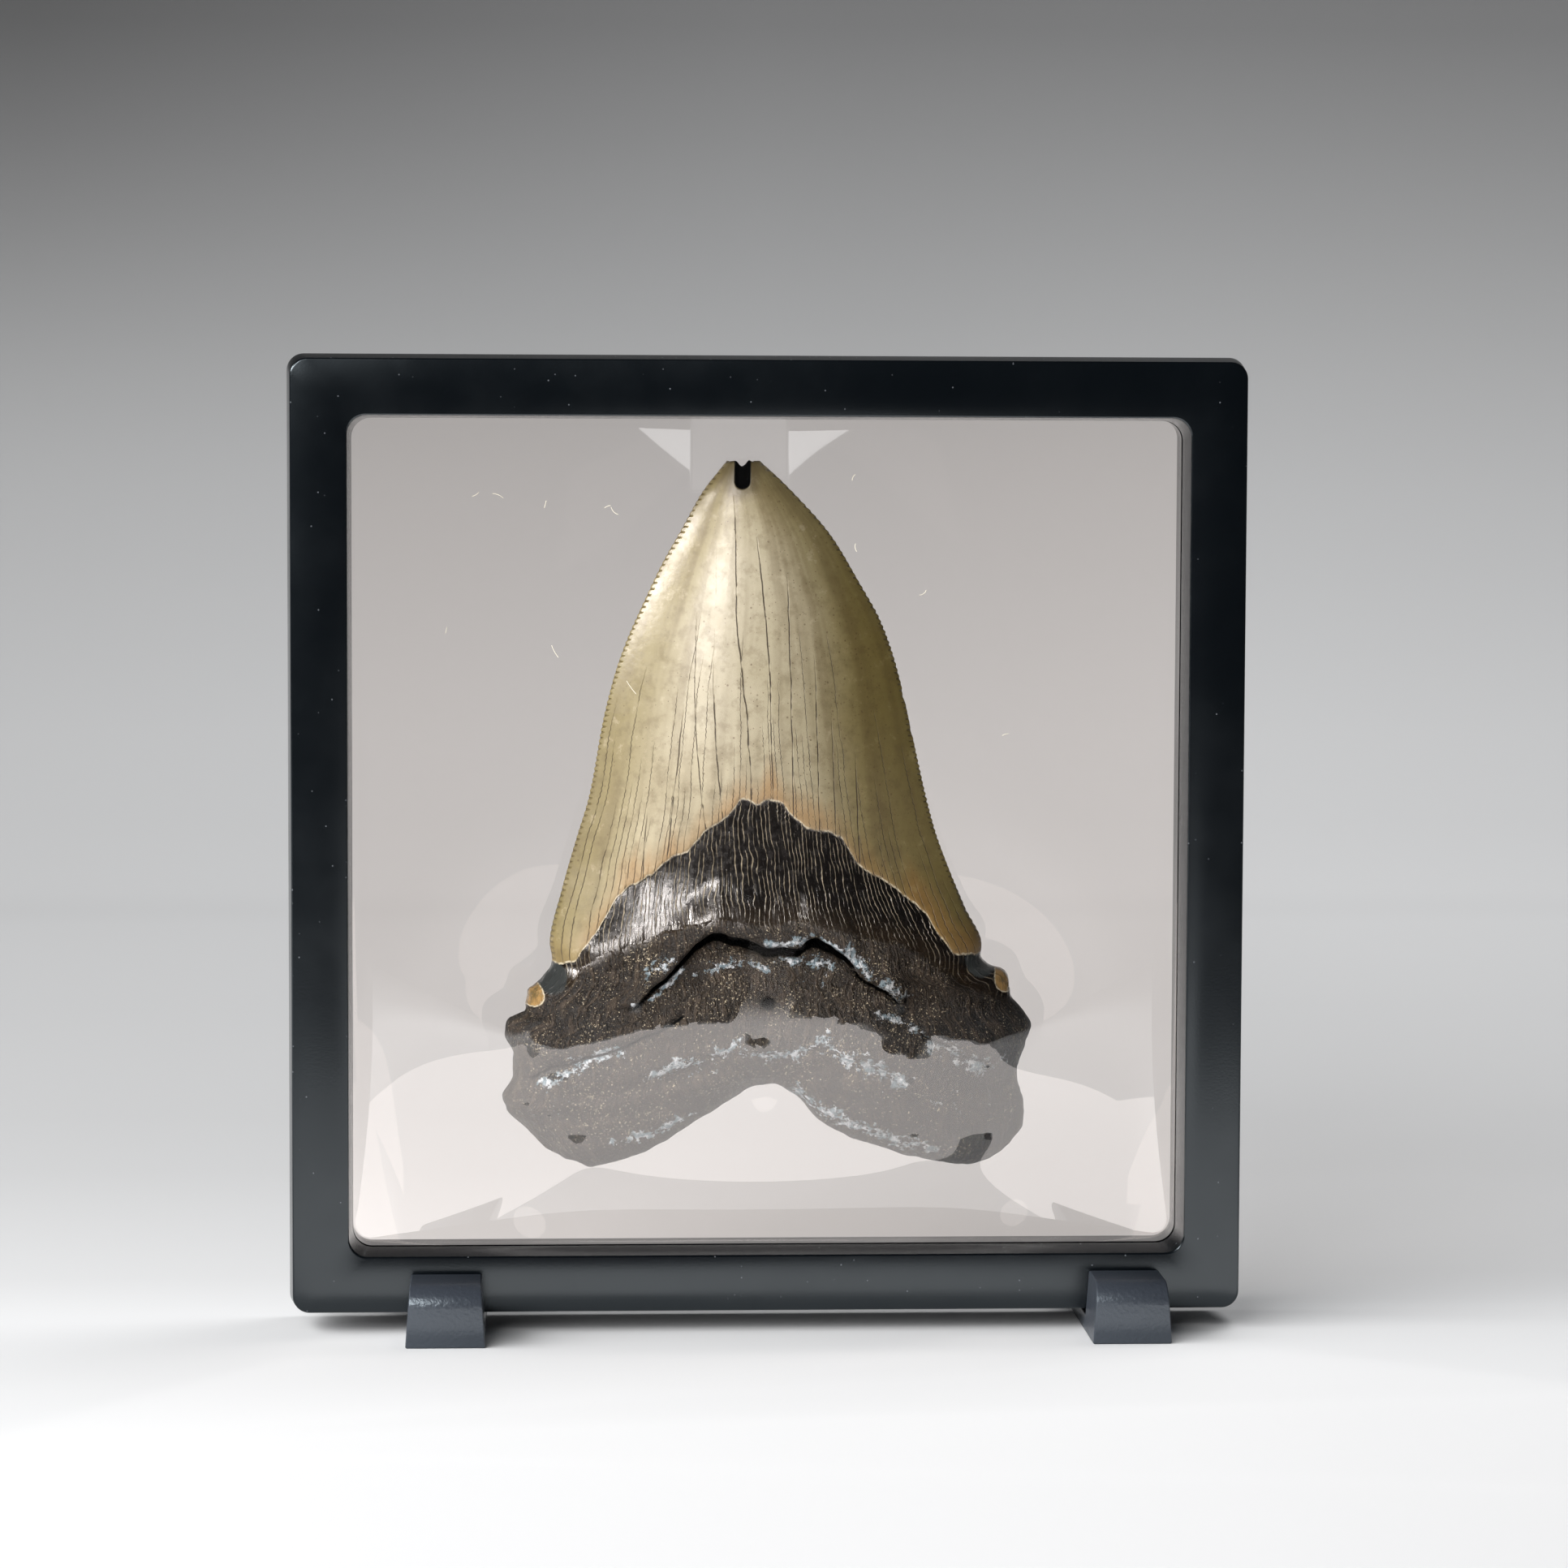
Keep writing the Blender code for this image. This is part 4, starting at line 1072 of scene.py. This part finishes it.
def filmSurface(tree):
    node, calc, ramp = shaderTools(tree)[:3]
    look = filmFinish
    bright = look["mirror"]  # both surfaces of a taut film mirror together
    clear = node("ShaderNodeBsdfTransparent", {"Color": (*look["tint"], 1)})
    dull = ramp(attributeValue(tree, "touch"), 0.1, 0.9, look["roughness"], look["touchRoughness"])
    gloss = node("ShaderNodeBsdfGlossy", {"Color": (bright, bright, bright, 1), "Roughness": dull})
    fresnel = node("ShaderNodeFresnel", {"IOR": look["ior"]}).outputs[0]
    facing = calc("SUBTRACT", 1.0, node("ShaderNodeNewGeometry").outputs["Backfacing"])
    share = calc("MULTIPLY", calc("MULTIPLY", fresnel, look["share"]), facing, clamp=True)
    share = calc("MULTIPLY", calc("MINIMUM", share, look["mostShare"]), attributeValue(tree, "mirrorShare"))
    return node("ShaderNodeMixShader", {0: share, 1: clear.outputs[0], 2: gloss.outputs[0]}).outputs[0]


filmLook = bareMaterial("clearFilm", filmSurface)
films, filmShapes = [], {}
for nodeName, side, depth in (("front_film", -1, frontDepth), ("back_film", 1, backDepth)):
    films.append(buildFilm(nodeName, side, depth))
    finishPiece(films[-1], filmLook, nodeName)
print("films stretched")

# Lint: pale fibres lying on the front film, round threads made along curves by Geometry Nodes
lint = {
    "radius": 0.07, "above": 0.03, "stations": 9, "bend": 70, "seed": 5,
    "colour": (0.80, 0.74, 0.60), "roughness": 0.7,
    # X, height above the table, length and lean of each fibre in degrees
    "fibres": [
        (-55.5, 156.6, 1.5, 35), (-49.7, 156.3, 2.2, 160), (-42.0, 154.5, 1.4, 75),
        (-30.8, 154.5, 1.3, 20), (-28.2, 153.3, 2.0, 130), (-39.4, 126.6, 2.6, 118),
        (-24.9, 119.9, 3.0, 125), (15.7, 159.8, 1.3, 60), (16.5, 146.5, 1.6, 95),
        (28.3, 138.4, 1.7, 40), (-60.5, 131.0, 1.2, 80), (44.0, 112.0, 1.3, 15)],
}


def lintTree():
    tree, entry, leave = shapeTree("lintShape", [("Fibre Radius", lint["radius"] * mm)])
    section = {"Resolution": 6, "Radius": entry.outputs["Fibre Radius"]}
    curves = addNode(tree, "GeometryNodeMeshToCurve", {"Mesh": entry.outputs["Geometry"]})
    ring = addNode(tree, "GeometryNodeCurvePrimitiveCircle", section)
    thread = addNode(tree, "GeometryNodeCurveToMesh", {
        "Curve": curves.outputs[0], "Profile Curve": ring.outputs["Curve"], "Fill Caps": True})
    finishShape(tree, thread.outputs[0], entry.outputs["Material"], leave)
    return tree


def buildLint(material):
    line, rise = filmShapes["front_film"]
    chance = np.random.default_rng(lint["seed"])
    vertices, edges = [], []
    for startX, startZ, length, lean in lint["fibres"]:
        bend = chance.uniform(-lint["bend"], lint["bend"])
        x, z = startX, startZ
        for station in range(lint["stations"]):
            column = np.interp(x, line, np.arange(len(line)))
            row = np.interp(z - centreHeight, line, np.arange(len(line)))
            a, b = int(column), int(row)
            across = rise[b:b + 2, a] * (1 - column + a) + rise[b:b + 2, a + 1] * (column - a)
            lift = across[0] * (1 - row + b) + across[1] * (row - b)
            outside = film["gap"] + lift + film["thickness"] + lint["radius"] + lint["above"]
            vertices.append((x, -outside, z))
            if station:
                edges.append((len(vertices) - 2, len(vertices) - 1))
            angle = math.radians(lean + bend * (station / (lint["stations"] - 1) - 0.5))
            x += math.cos(angle) * length / (lint["stations"] - 1)
            z += math.sin(angle) * length / (lint["stations"] - 1)
    piece = meshObject("film_lint", vertices, [], edges)
    applyShape(piece, lintTree(), {"Material": material})
    bakeModifiers(piece)
    pointOutwards(piece)
    piece.data.shade_smooth()
    return piece


lintMaterial, _, lintShader = newMaterial("paleLint")
lintShader.inputs["Base Color"].default_value = (*lint["colour"], 1)
lintShader.inputs["Roughness"].default_value = lint["roughness"]
lintPiece = buildLint(lintMaterial)
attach(lintPiece, "root")
print("lint laid:", len(lintPiece.data.polygons), "faces")

# Studio: floor that curves up into a backdrop, soft lights and the camera
studio = {
    "floorFront": -0.62, "wallAt": 1.3, "wallHeight": 2.4, "bend": 0.5, "halfWidth": 1.5,
    # brightness of the paper, read along the sweep from front to top in metres: painted light and shade,
    # bright near the object and darker towards the top and the front edge
    "tones": [
        (-0.62, 0.02), (-0.5, 0.2), (-0.4, 0.7), (-0.2, 0.79), (-0.06, 0.835), (0.0, 0.84), (0.05, 0.735),
        (0.19, 0.65), (0.28, 0.645), (0.5, 0.70), (0.75, 0.795), (0.85, 0.79), (0.96, 0.705), (1.07, 0.647),
        (1.3, 0.487), (1.39, 0.413), (1.64, 0.185), (1.8, 0.125)],
    "leftDim": (1.3, 1.8, 0.93, 0.52),       # painted shade: how far the left side darkens, low down and at the top
    "leftDimAcross": (-0.27, 0.06),          # X from where it is dimmed in full to where it isn't
    "rightLift": (0.08, 0.26, 1.0, 1.06),    # painted light: how much the right side brightens between two X
    "paperRoughness": 0.9, "paperSheen": 0.1, "bendSteps": 16,
    # outline of the bright card that only reflections see, X and Y on the floor
    "card": [
        (-88, -30), (-140, -105), (-268, -228), (-290, -262), (-168, -222), (-150, -330), (10, -330),
        (20, -800), (80, -800), (78, -310), (215, -300), (187, -210), (150, -150), (150, -70), (95, -30)],
    "cardLift": 1.5, "cardBrightness": 2.25, "cardColour": (1.0, 0.955, 0.935),
    "room": (0.27, 0.30, 0.33), "roomBrightness": 0.21,
    # name, place, aim, size, size of the twin that lights the paper, power
    "sideLamps": [
        ("key", (-0.54, -1.06, 0.60), (0, 0, 0.1), 0.40, 0.8, 13.5),
        ("side", (-1.10, -0.36, 0.70), (0, 0, 0.1), 0.30, 1.1, 20)],
    # place, aim, size and power of the lamp for the upper paper and of the one that the films mirror
    "wallWash": ((0.5, 0.35, 1.3), (0.15, 1.15, 0.1), 0.7, 8),
    "topDisc": ((0.057, -1.46, 0.550), (0, 0, 0.16), 0.142, 0.094),
    "camera": {
        "place": (-0.04465, -0.8796, 0.16551), "yaw": 0.0543, "pitch": 0.0713, "roll": -0.0038,
        "lens": 107.46},
}


def buildBackdrop():
    profile = [(studio["floorFront"], 0.0), (0.0, 0.0)]
    for count in range(studio["bendSteps"] + 1):
        angle = math.radians(90 * count / studio["bendSteps"])
        profile.append((studio["wallAt"] - studio["bend"] + studio["bend"] * math.sin(angle),
                        studio["bend"] - studio["bend"] * math.cos(angle)))
    profile.append((studio["wallAt"], studio["wallHeight"]))
    vertices = [(side * studio["halfWidth"] / mm, y / mm, z / mm) for y, z in profile for side in (-1, 1)]
    faces = [[2 * k, 2 * k + 1, 2 * k + 3, 2 * k + 2] for k in range(len(profile) - 1)]
    piece = meshObject("backdrop", vertices, faces)
    piece.data.shade_smooth()
    material, tree, shader = newMaterial("backdropPaper")
    position = addNode(tree, "ShaderNodeTexCoord").outputs["Object"]
    place = addNode(tree, "ShaderNodeSeparateXYZ", {0: position})
    sweep = mathNode(tree, "ADD", place.outputs[1], place.outputs[2])
    low, high = studio["tones"][0][0], studio["tones"][-1][0]
    share = mathNode(tree, "DIVIDE", mathNode(tree, "SUBTRACT", sweep, low), high - low)
    gradient = addNode(tree, "ShaderNodeValToRGB", {0: share})
    stops = gradient.color_ramp.elements
    while len(stops) < len(studio["tones"]):
        stops.new(0.5)
    for stop, (where, tone) in zip(stops, studio["tones"]):
        stop.position, stop.color = (where - low) / (high - low), (tone, tone, tone * 1.005, 1)
    # painted shade on the left side and painted light on the right
    across = place.outputs[0]
    leftEnd, leftStart = studio["leftDimAcross"]
    span = {0: across, 1: leftEnd, 2: leftStart, 3: rampNode(tree, sweep, *studio["leftDim"]), 4: 1.0}
    paintedShade = addNode(tree, "ShaderNodeMapRange", span).outputs[0]
    paintedLift = rampNode(tree, across, *studio["rightLift"])
    scaled = {0: gradient.outputs[0], "Scale": mathNode(tree, "MULTIPLY", paintedShade, paintedLift)}
    shade = addNode(tree, "ShaderNodeVectorMath", scaled, operation="SCALE")
    tree.links.new(shade.outputs[0], shader.inputs["Base Color"])
    shader.inputs["Roughness"].default_value = studio["paperRoughness"]
    shader.inputs["Specular IOR Level"].default_value = studio["paperSheen"]
    piece.data.materials.append(material)
    return piece


def buildCard():  # seen by mirrored rays alone
    corners = [(x, y, studio["cardLift"]) for x, y in studio["card"]]
    piece = meshObject("reflectionCard", corners, [list(range(len(corners)))])
    glow = {"Color": (*studio["cardColour"], 1), "Strength": studio["cardBrightness"]}
    material = bareMaterial("brightCard", lambda tree: addNode(tree, "ShaderNodeEmission", glow).outputs[0])
    piece.data.materials.append(material)
    piece.visible_camera = piece.visible_diffuse = piece.visible_shadow = piece.visible_transmission = False
    return piece


def lightLink(lamp, pieces, state):  # a lamp that lights only these pieces, or all but these
    group = bpy.data.collections.new(lamp.name + "Receivers")
    for piece in pieces:
        group.objects.link(piece)
    lamp.light_linking.receiver_collection = group
    for entry in group.collection_objects:
        entry.light_linking.link_state = state


def addLight(name, place, aim, size, power, shape="SQUARE"):
    light = bpy.data.lights.new(name, "AREA")
    light.shape, light.size, light.energy = shape, size, power
    lamp = inScene(name, light)
    lamp.location = place
    lamp.rotation_euler = (Vector(aim) - Vector(place)).to_track_quat("-Z", "Y").to_euler()
    return lamp


def buildCamera():
    view = studio["camera"]
    yaw, pitch, roll = view["yaw"], view["pitch"], view["roll"]
    forward = Vector((math.sin(yaw) * math.cos(pitch), math.cos(yaw) * math.cos(pitch), -math.sin(pitch)))
    right = Vector((math.cos(yaw), -math.sin(yaw), 0))
    down = forward.cross(right)
    rightTurned = right * math.cos(roll) + down * math.sin(roll)
    downTurned = -right * math.sin(roll) + down * math.cos(roll)
    lensData = bpy.data.cameras.new("camera")
    lensData.lens, lensData.sensor_width = view["lens"], 36.0
    lensData.clip_start, lensData.clip_end = 0.01, 20
    camera = inScene("camera", lensData)
    turn = Matrix((rightTurned, -downTurned, -forward)).transposed().to_4x4()
    camera.matrix_world = Matrix.Translation(Vector(view["place"])) @ turn
    scene.camera = camera


backdrop = buildBackdrop()
buildCard()
world = bpy.data.worlds.new("studio")
world.use_nodes = True
world.node_tree.nodes["Background"].inputs[0].default_value = (*studio["room"], 1)
world.node_tree.nodes["Background"].inputs[1].default_value = studio["roomBrightness"]
scene.world = world
# each lamp on the left has a broad twin that lights the paper alone, so that shadows there stay soft
for name, place, aim, size, broad, power in studio["sideLamps"]:
    lightLink(addLight(name + "Left", place, aim, size, power), films + [backdrop], "EXCLUDE")
    lightLink(addLight(name + "Soft", place, aim, broad, power), [backdrop], "INCLUDE")
wallWash = addLight("wallWash", *studio["wallWash"])
topDisc = addLight("topDisc", *studio["topDisc"], shape="DISK")
lightLink(wallWash, [backdrop], "INCLUDE")
lightLink(topDisc, films, "INCLUDE")
buildCamera()
scene.view_settings.view_transform = "Standard"
print("studio ready")
